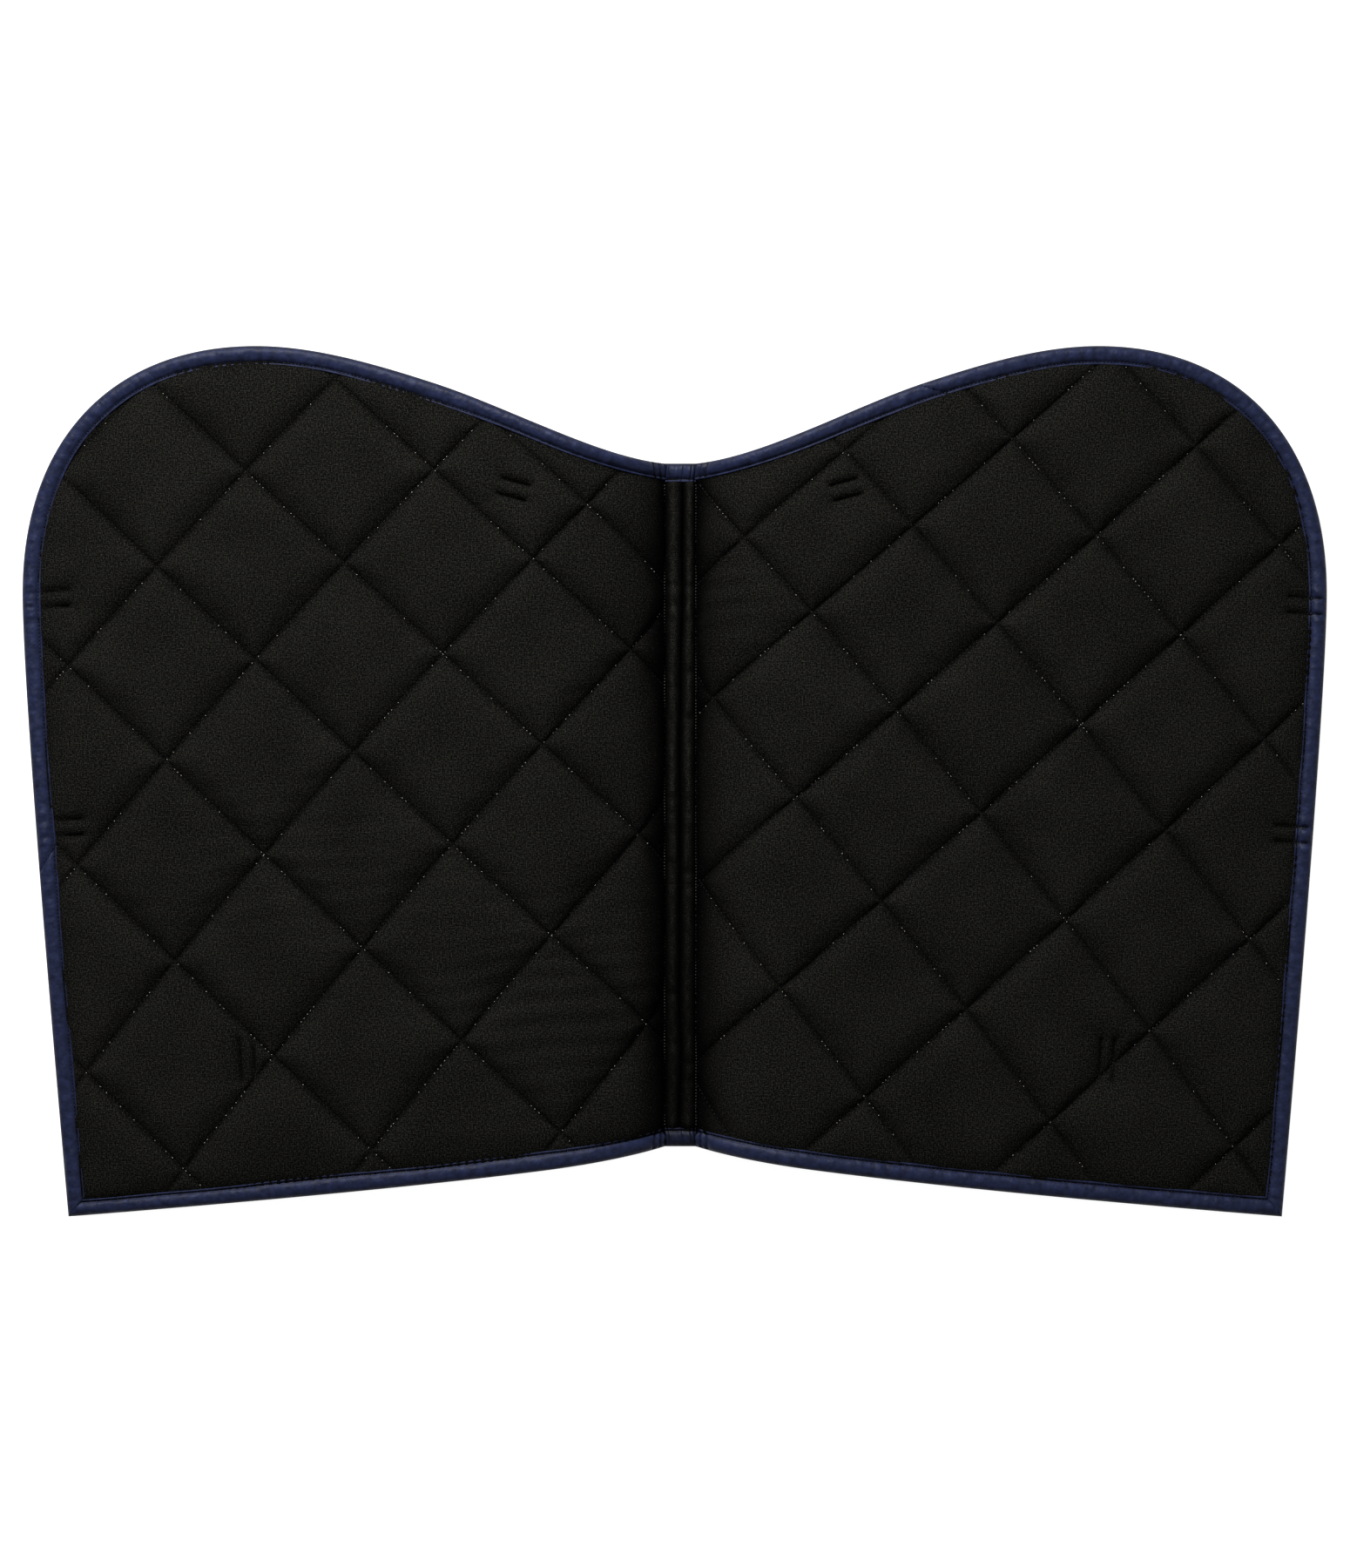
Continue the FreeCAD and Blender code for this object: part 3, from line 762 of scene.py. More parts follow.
LINING = lining_material()
SHELL = shell_material()
SATIN = satin_material()
WEBBING = webbing_material()
WADDING = fuzzy_material("wadding_fleece", (0.70, 0.69, 0.66), 3.0, 0.95, 1.0 * MM)
LOOPS = fuzzy_material("loop_pile", (0.007, 0.009, 0.022), 1.4, 0.95, 0.6 * MM)
HOOKS = fuzzy_material("hook_face", (0.006, 0.007, 0.016), 1.0, 0.45, 0.8 * MM)
LEATHER = leather_material()
BLACK_THREAD = thread_material("black_thread", (0.0035, 0.0035, 0.0035))
NAVY_THREAD = thread_material("navy_thread", (0.008, 0.011, 0.038))
DULL_THREAD = thread_material("dull_thread", (0.065, 0.063, 0.055))
PALE_THREAD = thread_material("pale_thread", (0.32, 0.31, 0.27))


def bends(piece, side, slot=None, *replaced):
    """A piece that crosses the crest, shaped over both the inner and the outer panel: its transform is baked
    into its mesh and the parts it replaces are hidden.
    """
    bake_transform(piece)
    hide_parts(*replaced)
    return piece


def rides(piece, body, slot=None, *replaced):
    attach(piece, body)
    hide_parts(*replaced)
    return piece


# ---------------------------------------------------------------- the flaps' cloth
SIM_STEPS = 14
SIM_CAP = 1.6 * MM                  # how far the simulation may move any point
SIM_EASE = 0.007                    # the cloth is this much larger than it lies


def billow(piece, held):
    """Lets the cloth billow between its seams, as the wadding pushes it, and returns how it moved."""
    before = np.array([v.co for v in piece.data.vertices])
    pins = piece.vertex_groups.new(name="sewn")
    pins.add([int(k) for k in np.nonzero(held)[0]], 1.0, "REPLACE")
    scene = bpy.context.scene
    scene.gravity = (0, 0, 9.81)
    cloth = piece.modifiers.new("Cloth", "CLOTH")
    settings = cloth.settings
    settings.quality = 4
    settings.mass = 0.02
    settings.tension_stiffness = 12
    settings.compression_stiffness = 12
    settings.shear_stiffness = 4
    settings.bending_stiffness = 0.15
    settings.air_damping = 4
    settings.shrink_min = -SIM_EASE
    settings.vertex_group_mass = "sewn"
    cloth.collision_settings.use_collision = False
    cloth.point_cache.frame_start = 1
    cloth.point_cache.frame_end = SIM_STEPS
    for step in range(1, SIM_STEPS + 1):
        scene.frame_set(step)
    baked(piece)
    scene.frame_set(1)
    moved = np.array([v.co for v in piece.data.vertices]) - before
    size = np.linalg.norm(moved, axis=1)
    return moved * (SIM_CAP * np.tanh(size / SIM_CAP) / np.maximum(size, 1e-9))[:, None]


def flap_cloth(side):
    """Lining, outer shell and wadding of one flap."""
    run, y, faces = flat_cloth(side, DIVISIONS)
    full, nearest = loft(side, run, y)
    folds = creases(side, run, y) * smooth(nearest / (16 * MM))
    uv = np.stack([run, y], 1)
    top = pinched(run) + LOFT * full + folds
    low = -pinched(run) - LOFT_UNDER * LOFT * full - 0.5 * folds
    flat = pressed(side, middle(run, y)[0], y)
    low = low * (1 - flat) + (OUTER_FACE + 0.3 * MM) * flat
    # Painted shade in the creases and beside the spine, for lining and shell alike.
    painted_light = painted_shade(side, run, y, nearest)
    face_up = [face if SIDES[side] > 0 else face[::-1] for face in faces]
    over, under = lay(side, run, y, top), lay(side, run, y, low)
    lining = build(side + "_lining", over, face_up, uv, LINING, painted_light)
    moved = billow(lining, nearest < 1.2 * MM)
    lining.data.vertices.foreach_set("co", (over + moved).ravel())
    under = under + moved * (0.6 * (1 - flat))[:, None] * [1, 1, -1]
    shell = build(side + "_shell", under, [face[::-1] for face in face_up], uv, SHELL, painted_light)
    if lining.data.polygons[0].normal.z < 0:
        lining.data.flip_normals()
        shell.data.flip_normals()
    thicken(lining, CLOTH)
    thicken(shell, CLOTH)
    bends(lining, side, "lining_fabric", side + "_inner_lining", side + "_outer_lining")
    bends(shell, side, "outer_fabric", side + "_inner_shell", side + "_outer_shell")
    core = wadding(side)


def wadding(side):
    """The wadding between lining and shell: one quilted batt, closed round its edge."""
    run, y, faces = flat_cloth(side, 10)
    rows = distance_to_rows(strap_rows(side), middle(run, y)[0], y)
    half = 0.9 * LOFT * loft(side, run, y)[0] * smooth((rows - 8 * MM) / (14 * MM)) - CLOTH
    half = np.maximum(half, 0.12 * MM)
    sheets = np.concatenate([lay(side, run, y, half), lay(side, run, y, -LOFT_UNDER * half)])
    count = len(run)
    rim = {}
    for face in faces:
        for edge in zip(face, face[1:] + face[:1]):
            if rim.pop(edge[::-1], None) is None:
                rim[edge] = True
    solid = list(faces) + [[k + count for k in face[::-1]] for face in faces]
    solid += [[b, a, a + count, b + count] for a, b in rim]
    core = build(side + "_wadding", sheets, solid, np.tile(np.stack([run, y], 1), (2, 1)), WADDING)
    outward(core)
    return bends(core, side, "wadding", side + "_inner_wadding", side + "_outer_wadding")


def seam_spots(side, pitch, face):
    """Places for stitches along every quilting seam of a flap, on its upper or lower face."""
    ticks = np.arange(-SEAM_COUNT * QUILT, SEAM_COUNT * QUILT, pitch) / QUILT
    a_lines, b_lines = seam_lines(side)
    a = np.concatenate([np.tile(ticks, len(b_lines)), np.repeat(a_lines, len(ticks))])
    b = np.concatenate([np.repeat(b_lines, len(ticks)), np.tile(ticks, len(a_lines))])
    along_a = np.arange(len(a)) < len(ticks) * len(b_lines)
    run, y = quilt_to_flat(side, a, b)
    good = (run > 3 * MM) & (run < 0.6) & (np.abs(y) < 0.4)
    good[good] = depth_inside(middle(run[good], y[good])[0], y[good]) > BINDING + 1 * MM
    a, b, along_a, run, y = [values[good] for values in (a, b, along_a, run, y)]
    ahead_run, ahead_y = quilt_to_flat(side, a + 0.01 * along_a, b + 0.01 * ~along_a)
    height = face * (pinched(run) + 0.12 * MM)
    clear = pressed(side, middle(run, y)[0], y) < 0.01 if face < 0 else run > 0
    return [v[clear] for v in face_places(side, run, y, ahead_run, ahead_y, height, face)]


def quilting(side):
    """The quilting thread, mostly sunk in its seams, with pale specks of the under thread here and there."""
    rng = np.random.default_rng(7 if side == "left" else 8)
    middles, ahead, up = seam_spots(side, QUILT_PITCH, 1)
    thread = stitches(side + "_quilting", (middles, ahead, up), 2.6 * MM, 0.2 * MM, BLACK_THREAD)
    bends(thread, side)
    bunches = smooth(0.5 + 2 * wobble(middles[:, 0], middles[:, 1], 25 * MM, 5.0))
    chosen = rng.random(len(middles)) < 0.04 + 0.30 * bunches
    shift = rng.uniform(-0.8, 0.8, (len(middles), 1)) * MM
    spots = [v[chosen] for v in (middles + unit(ahead) * shift + up * 0.25, ahead, up)]
    bends(stitches(side + "_quilting_specks", spots, 0.9 * MM, 0.30 * MM, PALE_THREAD), side)
    spots = seam_spots(side, QUILT_PITCH, -1)
    bends(stitches(side + "_quilting_under", spots, 2.8 * MM, 0.3 * MM, NAVY_THREAD), side)


# ---------------------------------------------------------------- binding
def tape_section():
    """The folded tape's closed section: inset from the edge, height, and whether it is the outer skin."""
    half = np.array(BINDING_SECTION) * MM
    outer = np.concatenate([half, (half * [1, -1])[::-1][1:]])
    inner = outer[::-1].copy()
    inner[:, 0] = np.maximum(inner[:, 0], BINDING_TAPE)
    inner[:, 1] -= np.sign(inner[:, 1]) * np.minimum(np.abs(inner[:, 1]), BINDING_TAPE)
    section = np.concatenate([outer, inner])
    return section[:, 0], section[:, 1], np.arange(len(section)) < len(outer)


def painted_tape_shade(inset):
    """How light the tape is painted across its width: painted shade at the very edge and in its groove of
    stitches.
    """
    return (1 - 0.70 * bell(inset, 2.0 * MM)) * (1 - 0.85 * bell(inset - BINDING_SEAM, 0.55 * MM))


def tape_body(inset, skin):
    """Where the tape can ruffle: on its outer skin, most of all half way between stitching and edge."""
    return np.sin(np.pi * np.minimum(inset, 14 * MM) / (14 * MM)) * skin


def tape_width(along, seed, narrowed):
    """The tape's width as a share of the usual one. It may be narrowed where it starts."""
    return 1 + 0.07 * wobble(along, 0.0, 0.09, seed) - 0.14 * bell(along - 0.04, 0.11) * narrowed


def gathers(lean):
    """Folds and puffs of the tape where it is gathered beside the spine, 0 to about 1 each."""
    fold = bell(lean - 0.5 * MM, 1.1 * MM) + bell(lean - 7 * MM, 1.5 * MM)
    fold = fold + 0.9 * bell(lean - 13.5 * MM, 1.7 * MM)
    return fold, 0.30 * bell(lean - 3.8 * MM, 1.8 * MM) + 0.25 * bell(lean - 10 * MM, 1.8 * MM)


def binding_strip(end, side, outline, seed, join=None):
    """Folded tape round some of the finished edge, as a closed tube."""
    points, normals, along = outline
    inset, height, skin = tape_section()
    other = end == "rear" and side == "right"       # this length of tape is uneven in its own way
    reach = tape_width(along, 20.0 * other + SIDES[side], not other)[:, None] * inset
    spots = points[:, None] + normals[:, None] * reach[..., None]
    run = run_of(spots[..., 0])
    at = points + normals * 12 * MM
    rows = distance_to_rows(strap_rows(side), at[:, 0], at[:, 1])
    swell = 0.66 + 0.34 * smooth(run / PINCH_RUN)
    lean = run + 0.25 * (inset - 8 * MM)
    fold, puffs = gathers(lean)
    swell *= 1 - 0.60 * fold + puffs
    at_row = smooth((inset - 4 * MM) / (3 * MM)) * bell(rows, 1.5 * MM)[:, None]
    swell *= 1 - 0.60 * at_row + 0.22 * bell(rows - 6.5 * MM, 3.5 * MM)[:, None]
    # Painted shade at the tape's edge and groove, in the dips at the strap rows and in the gathered folds.
    painted_light = painted_tape_shade(inset) * (1 - 0.6 * at_row) * (1 - 0.8 * np.minimum(fold, 1))
    if join is not None:
        place, normal = np.array(join)
        past = (spots - place) @ unit(normal)
        swell *= 1 - 0.3 * bell(past, 1.2 * MM) * (np.linalg.norm(spots - place, axis=-1) < 60 * MM)
    long_way = np.broadcast_to(along[:, None], run.shape)
    ruffle = wobble(long_way, inset * 0.45, 7 * MM, seed)
    ruffle = ruffle + 0.5 * wobble(long_way, inset * 0.3, 3 * MM, seed + 5)
    near_corner = bell(np.linalg.norm(spots - FLAP_POLES[3 * CORNER_CURVE], axis=-1), 45 * MM)
    ruffle = ruffle * (0.6 + 0.6 * near_corner + 0.9 * bell(rows, 9 * MM)[:, None]) * MM
    top = height * swell + np.sign(height) * ruffle * tape_body(inset, skin)
    uv = packed(inset * np.sign(height + 1e-9), long_way)
    name = side + "_binding_" + end
    return sweep(name, lay(side, run, spots[..., 1], top), uv, SATIN, painted_light.reshape(-1))


def mirrored_plane(side, point, normal):
    """A point over the flap and an upright plane's normal, from plan values of the right flap."""
    place = lay(side, float(run_of(point[0])), point[1], 0.0)
    return Vector(place), Vector((SIDES[side] * normal[0], normal[1], 0)).normalized()


def mitre(side):
    """The upright plane through the mitred rear corner, towards the rear edge."""
    corner = np.array(FLAP_POLES[3 * CORNER_CURVE])
    side_end = np.array(FLAP_POLES[3 * CORNER_CURVE - 1]) - corner
    rear_end = np.array(FLAP_POLES[3 * CORNER_CURVE + 1]) - corner
    away = rear_end / np.linalg.norm(rear_end) - side_end / np.linalg.norm(side_end)
    return mirrored_plane(side, corner, away)


def binding(side):
    """The three lengths of tape round a flap."""
    join = TAPE_JOIN[side]
    points = SIDE_OUTLINE[0]
    split = int(np.argmin(np.hypot(points[:, 0] - join[0][0], points[:, 1] - join[0][1])))
    spare, reach = 35, 90 * MM
    join_point, join_normal = mirrored_plane(side, *join)
    corner_point, corner_normal = mitre(side)
    front = binding_strip("front", side, [v[:split + spare] for v in SIDE_OUTLINE], 1.0 + SIDES[side], join)
    cut(front, join_point, join_normal, reach)
    bends(front, side, "binding_satin", side + "_inner_binding_front", side + "_outer_binding_front")
    edge = binding_strip("side", side, [v[split - spare:] for v in SIDE_OUTLINE], 11.0 + SIDES[side], join)
    cut(edge, join_point, -join_normal, reach)
    cut(edge, corner_point, corner_normal, reach)
    rides(edge, side + "_outer", "binding_satin", side + "_outer_binding_side")
    rear = binding_strip("rear", side, REAR_OUTLINE, 21.0 + SIDES[side])
    cut(rear, corner_point, -corner_normal, reach)
    bends(rear, side, "binding_satin", side + "_inner_binding_rear", side + "_outer_binding_rear")


def binding_stitching(side):
    """One row of navy stitches near the tape's inner edge, through to the other face."""
    dip = 1.95 * MM
    parts = []
    for first, last, seed in ((0, CORNER_CURVE, 0.0), (CORNER_CURVE, CURVES, 20.0)):
        points, normals, along = curve_points(first, last, 3.4 * MM)
        wide = tape_width(along, seed + SIDES[side], seed + SIDES[side] < 20)
        spot = points + normals * (BINDING_SEAM * wide)[:, None]
        good = (run_of(spot[:, 0]) > PINCH_RUN) & (depth_inside(*spot.T) > BINDING_SEAM - 1.2 * MM)
        ahead = (spot + 0.3 * np.gradient(spot, axis=0))[good]
        spot = spot[good]
        for face in (1, -1):
            parts.append(plan_places(side, spot, ahead, face * dip, face))
    bends(stitches(side + "_binding_stitching", joined(parts), 2.5 * MM, 0.26 * MM, NAVY_THREAD), side)


STRAP_PITCH, PATCH_PITCH = 2.6 * MM, 3 * MM
# Height of a strap row's stitches on the tape, in millimetres: distance from the finished edge, height
ROW_ON_TAPE = [(0, 0), (3, 1.9), (8, 2.5), (14, 1.7), (17, 1.8)]


def row_stitching(side):
    """Dark stitches of the strap and badge rows, on the lining and over the binding."""
    parts = []
    for start, end in strap_rows(side):
        start, end = np.array(start), np.array(end)
        length = np.linalg.norm(end - start)
        count = int(length / STRAP_PITCH)
        share = (np.arange(count) + 0.5) / count
        spot = start + (end - start) * share[:, None]
        ahead = spot + (end - start) * 0.01
        depth = depth_inside(*spot.T)
        full, _ = loft(side, run_of(spot[:, 0]), spot[:, 1])
        on_cloth = SEAM_HALF + LOFT * full + 0.15 * MM
        on_tape = np.interp(depth, *np.array(ROW_ON_TAPE).T * MM)
        height = np.where(depth < BINDING, on_tape, on_cloth)
        parts.append(plan_places(side, spot, ahead, height, 1))
    thread = stitches(side + "_strap_stitching", joined(parts), 2.2 * MM, 0.34 * MM, BLACK_THREAD)
    rides(thread, side + "_outer")


# ---------------------------------------------------------------- straps and badge on the outer face
def strap(name, centres, across, width, half, material, up=None):
    """Webbing along a line of centres, with rounded edges. Across and up may be one for all of them."""
    upper = [(-1, 0), (-0.985, 0.6), (-0.95, 1), (-0.5, 1.06), (0, 1.0), (0.5, 1.06), (0.95, 1), (0.985, 0.6)]
    section = np.array(upper + [(-u, -v) for u, v in upper])
    across = np.broadcast_to(across, centres.shape)
    if up is None:
        up = unit(np.cross(across, np.gradient(centres, axis=0)))
    up = np.broadcast_to(up, centres.shape)
    rings = (centres[:, None] + across[:, None] * (section[:, 0] * width / 2)[None, :, None]
             + up[:, None] * (section[:, 1] * half)[None, :, None])
    return sweep(name, rings, packed(section[None, :, 0] * width / 2, lengths(centres)[:, None]), material)


def outer_patch(side, centre, turn, u, v, height):
    """Places on the outer face from patch coordinates: u across, v along, height from the middle surface."""
    c, s = math.cos(turn), math.sin(turn)
    u, v = np.broadcast_arrays(u, v)
    x, y = centre[0] + u * c - v * s, centre[1] + u * s + v * c
    return lay(side, run_of(x), y, height)


def keeper(side):
    """The girth keeper: webbing sewn down at both ends, slack between them."""
    v = np.linspace(-KEEPER_SPAN / 2, KEEPER_SPAN / 2, 121)
    lift = smooth((KEEPER_SPAN / 2 - KEEPER_SEWN - np.abs(v)) / KEEPER_RAMP)
    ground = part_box(side + "_girth_keeper")[0].z + WEBBING_HALF + 0.2 * MM
    sewn = outer_patch(side, KEEPER[side], KEEPER_TURN, 0.0, v, OUTER_FACE - WEBBING_HALF)
    beside = outer_patch(side, KEEPER[side], KEEPER_TURN, 0.01, v, OUTER_FACE - WEBBING_HALF)
    across = unit(beside - sewn)
    ripple = 0.5 * MM * np.sin(v / 0.021) * lift
    centres = sewn.copy()
    droop = KEEPER_WIDTH / 2 * np.abs(across[:, 2])
    centres[:, 2] += (ground + droop + np.maximum(ripple, 0) - sewn[:, 2]) * lift
    piece = strap(side + "_keeper_webbing", centres, across, KEEPER_WIDTH, WEBBING_HALF, WEBBING)
    rides(piece, side + "_outer", "webbing", side + "_girth_keeper")
    half = KEEPER_WIDTH / 2 - 2 * MM
    lines = []
    for end in (-1, 1):
        levels = (ROW_FROM_MIDDLE, ROW_FROM_MIDDLE - ROW_GAP)
        a, b, c, d = [(u, end * level) for level in levels for u in (-half, half)]
        lines += [(a, b), (c, d), (a, c), (b, d), (a, d), (b, c)]
    patch_stitching(side, "keeper", KEEPER[side], KEEPER_TURN, lines, OUTER_FACE - 2 * WEBBING_HALF)


def patch_stitching(side, what, centre, turn, lines, level):
    """Stitches along straight lines of a patch on the outer face."""
    parts = []
    for start, end in np.array(lines):
        count = max(2, int(math.hypot(*(end - start)) / PATCH_PITCH))
        share = (np.arange(count)[:, None] + 0.5) / count
        spot = start + (end - start) * share
        parts.append((spot, spot + (end - start) * 0.01))
    spot, ahead = joined(parts)
    here = outer_patch(side, centre, turn, *spot.T, level - 0.1 * MM)
    ahead = outer_patch(side, centre, turn, *ahead.T, level - 0.1 * MM) - here
    out = outer_patch(side, centre, turn, *spot.T, level - 1 * MM) - here
    thread = stitches(side + "_" + what + "_stitching", (here, ahead, out), 2.3 * MM, 0.3 * MM, NAVY_THREAD)
    rides(thread, side + "_outer")


def tab_axes(side):
    """The tab's pivot, and its directions away from it, across and out of the pad, from its two joints."""
    pivot = np.array(joints[side + "_tab_swing"]["pos_m"])
    reach = np.array(joints[side + "_tab_open"]["pos_m"]) - pivot
    across = unit(np.array(joints[side + "_tab_swing"]["axis"], float))
    out = unit(np.cross(across, reach))
    if out[2] > 0:
        out = -out
    straight = unit(reach)
    tilt = math.asin(TAB_OFFSET / np.linalg.norm(reach))
    along = straight * math.cos(tilt) - out * math.sin(tilt)
    return pivot, along, across, straight * math.sin(tilt) + out * math.cos(tilt)


def tab(side):
    """The hook-and-loop tab: webbing sewn to the pad, folded back on itself and closed by its patches."""
    pivot, along, across, out = tab_axes(side)

    def places(reach, level):
        """Places of the tab from the distance from its pivot and the height over its hanging webbing."""
        return pivot + np.outer(reach, along) + np.multiply.outer(level, out)

    sewn_v = np.linspace(12 * MM, -6 * MM, 8)
    sewn = outer_patch(side, TAB_ROOT, TAB_TURN, 0.0, sewn_v, OUTER_FACE - WEBBING_HALF)
    hanging = places(np.linspace(2 * MM, TAB_FOLD, 40), -WEBBING_HALF)
    centres = np.concatenate([sewn, hanging])
    webbing = strap(side + "_tab_strap", centres, across, TAB_WIDTH, WEBBING_HALF, WEBBING)
    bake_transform(webbing)
    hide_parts(side + "_tab_anchor", side + "_tab_webbing")

    low, high = -WEBBING_HALF, TAB_END_LEVEL
    radius = (high - low) / 2
    turn = np.linspace(-math.pi / 2, math.pi / 2, 15)
    bend = places(TAB_FOLD + radius * np.cos(turn), (low + high) / 2 + radius * np.sin(turn))
    fold = strap(side + "_tab_fold", bend, across, TAB_WIDTH, WEBBING_HALF, WEBBING)
    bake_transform(fold)

    back = places(np.linspace(14 * MM, TAB_FOLD, 36), high)
    free = strap(side + "_tab_end", back, across, TAB_WIDTH, WEBBING_HALF, WEBBING, out)
    rides(free, side + "_tab_tip", "webbing", side + "_tab_free_end")
    for name, body, slot, level, material in (("loop", side + "_tab", "loop_tape", 0.4 * MM, LOOPS),
                                              ("hook", side + "_tab_tip", "hook_tape", 1.5 * MM, HOOKS)):
        line = places(np.linspace(30 * MM, 100 * MM, 60), level)
        patch = strap(side + "_tab_" + name + "s", line, across, TAB_WIDTH - 3 * MM, 0.38 * MM, material, out)
        rides(patch, body, slot, side + "_tab_" + name + "_patch")

    half = TAB_WIDTH / 2 - 1.5 * MM
    a, b, c, d = [(u, level) for level in (-5 * MM, 7 * MM) for u in (-half, half)]
    lines = [(a, b), (c, d), (a, c), (b, d)]
    patch_stitching(side, "tab", TAB_ROOT, TAB_TURN, lines, OUTER_FACE - 2 * WEBBING_HALF)


def badge(side):
    """A plain grained patch with a rolled border, and its stitching."""
    u, v = np.meshgrid(np.linspace(-1, 1, 18), np.linspace(-1, 1, 30))
    corner = 1 - 0.10 * np.abs(u * v) ** 6
    u, v = u * corner, v * corner
    edge = np.maximum(np.abs(u), np.abs(v))
    inside = np.minimum((1 - np.abs(u)) * BADGE_WIDTH, (1 - np.abs(v)) * BADGE_LENGTH) / 2
    thick = 1.5 * MM * (1 - smooth((edge - 0.9) / 0.1) * 0.5) - 0.3 * MM * bell(inside - 2 * MM, 0.6 * MM)
    across, along = u * BADGE_WIDTH / 2, v * BADGE_LENGTH / 2
    face = outer_patch(side, BADGE_AT, BADGE_TURN, across, along, OUTER_FACE - thick)
    back = outer_patch(side, BADGE_AT, BADGE_TURN, across, along, OUTER_FACE + 0.1 * MM)
    patch = slab(side + "_badge_patch", face, back, packed(across, along), LEATHER)
    rides(patch, side + "_outer", "badge", side + "_badge")
    w, h = BADGE_WIDTH / 2 - 2 * MM, BADGE_LENGTH / 2 - 2 * MM
    corners = [(-w, -h), (w, -h), (w, h), (-w, h)]
    lines = list(zip(corners, corners[1:] + corners[:1]))
    patch_stitching(side, "badge", BADGE_AT, BADGE_TURN, lines, OUTER_FACE - 1.25 * MM)


# ---------------------------------------------------------------- the spine
ROLL_FOOT = HINGE_Z + 0.4 * MM
ROLL_RISE = 5.6 * MM


def quilt_dents(side):
    """Where along the spine this flap's seams run in."""
    ticks = np.arange(-4 * SEAM_COUNT, 4 * SEAM_COUNT) * 0.25
    a_lines, b_lines = seam_lines(side)
    found = []
    for lines, along_a in ((b_lines, True), (a_lines, False)):
        for line in lines:
            fixed = np.full(ticks.shape, line)
            run, y = quilt_to_flat(side, ticks, fixed) if along_a else quilt_to_flat(side, fixed, ticks)
            order = np.argsort(run)
            found.append(float(np.interp(0.0, run[order], y[order])))
    return np.array([y for y in found if SPINE_REAR < y < SPINE_FRONT])


def spine_roll(side):
    """One of the two rolls of lining between the rows of topstitching, and the wadding in it."""
    sign = SIDES[side]
    y = np.linspace(SPINE_REAR + 2 * MM, SPINE_FRONT - 2 * MM, 320)[:, None]
    turn = np.linspace(0, math.pi, 17)[None, :]
    share = 0.5 - 0.5 * np.cos(turn)
    groove = 1.6 * MM * wobble(y, 0.0, 0.07, 40.0) + 2 * MM * smooth(y / 0.2)
    x = sign * groove + (HINGE_X - sign * groove) * share
    dent = 1 - 0.30 * bell(y[..., None] - quilt_dents(side), 4 * MM).max(-1)
    end = smooth((np.minimum(SPINE_FRONT - y, y - SPINE_REAR) - 12 * MM) / (10 * MM))
    high = ROLL_RISE * dent * (0.15 + 0.85 * end) * (1 + 0.25 * wobble(y, sign * 0.1, 0.03, 41.0))
    lift = np.maximum(np.sin(turn), 0) ** 1.1
    crush = 0.3 * MM * wobble(x, y * 0.45, 4 * MM, 42.0) * lift
    z = ROLL_FOOT + high * lift + crush
    inner = ROLL_FOOT - CLOTH + 0.9 * np.maximum(high * lift - 0.1 * MM, 0)
    rear = smooth((0.1 - y) / 0.35)
    # Painted highlight along each roll's crown, streaked, with painted shade on its flanks, deepening towards
    # the rear.
    streaks = 1 + 0.5 * wobble(y, x * 3, 9 * MM, 43.0)
    painted_light = (0.03 + 1.05 * lift ** 4 * streaks) * (1 - 0.3 * rear)
    roll = slab("spine_roll_" + side, packed(sign * x, y, z), packed(sign * x, y, inner),
                packed(0.03 * share, y), LINING, np.tile(painted_light.reshape(-1), 2))
    rides(roll, "spine", "lining_fabric", "spine_lining_" + side)
    y = np.linspace(SPINE_REAR + 4 * MM, SPINE_FRONT - 4 * MM, 60)[:, None]
    turn = 2 * math.pi * np.arange(12)[None, :] / 12
    x = sign * HINGE_X * (0.5 + 0.37 * np.cos(turn))
    rings = packed(x, y, 5.2 * MM + 1.7 * MM * np.sin(turn))
    core = sweep("spine_core_" + side, rings, packed(3 * MM * turn, y), WADDING)
    rides(core, "spine", "wadding", "spine_wadding_" + side)


def line_spots(x, y, z, up):
    """Places for stitches that run along the spine."""
    middles = packed(x, y, z)
    return middles, np.tile([0.0, 1.0, 0.0], (len(middles), 1)), np.tile([0.0, 0.0, up], (len(middles), 1))


def topstitching():
    """Two rows of small dull stitches beside the rolls."""
    y = np.arange(SPINE_REAR + 20 * MM, SPINE_FRONT - 19 * MM, 2.8 * MM)
    rows = []
    for sign in (-1, 1):
        x = sign * (HINGE_X + 0.1 * MM + 0.25 * MM * wobble(y, sign, 0.02, 50.0))
        rows.append(line_spots(x, y, ROLL_FOOT + 2.0 * MM, 1.0))
    rides(stitches("spine_topstitching", joined(rows), 1.1 * MM, 0.30 * MM, DULL_THREAD), "spine")


# Folds of the tape over the spine's ends, in millimetres: place across the spine, width, and depth as a share
SPINE_FOLDS = [(13.6, 0.9, 0.45), (-13.6, 0.9, 0.45), (9.8, 0.7, 0.25),
               (-10.5, 0.7, 0.25), (2.3, 0.8, 0.16), (-5.0, 0.8, 0.06)]


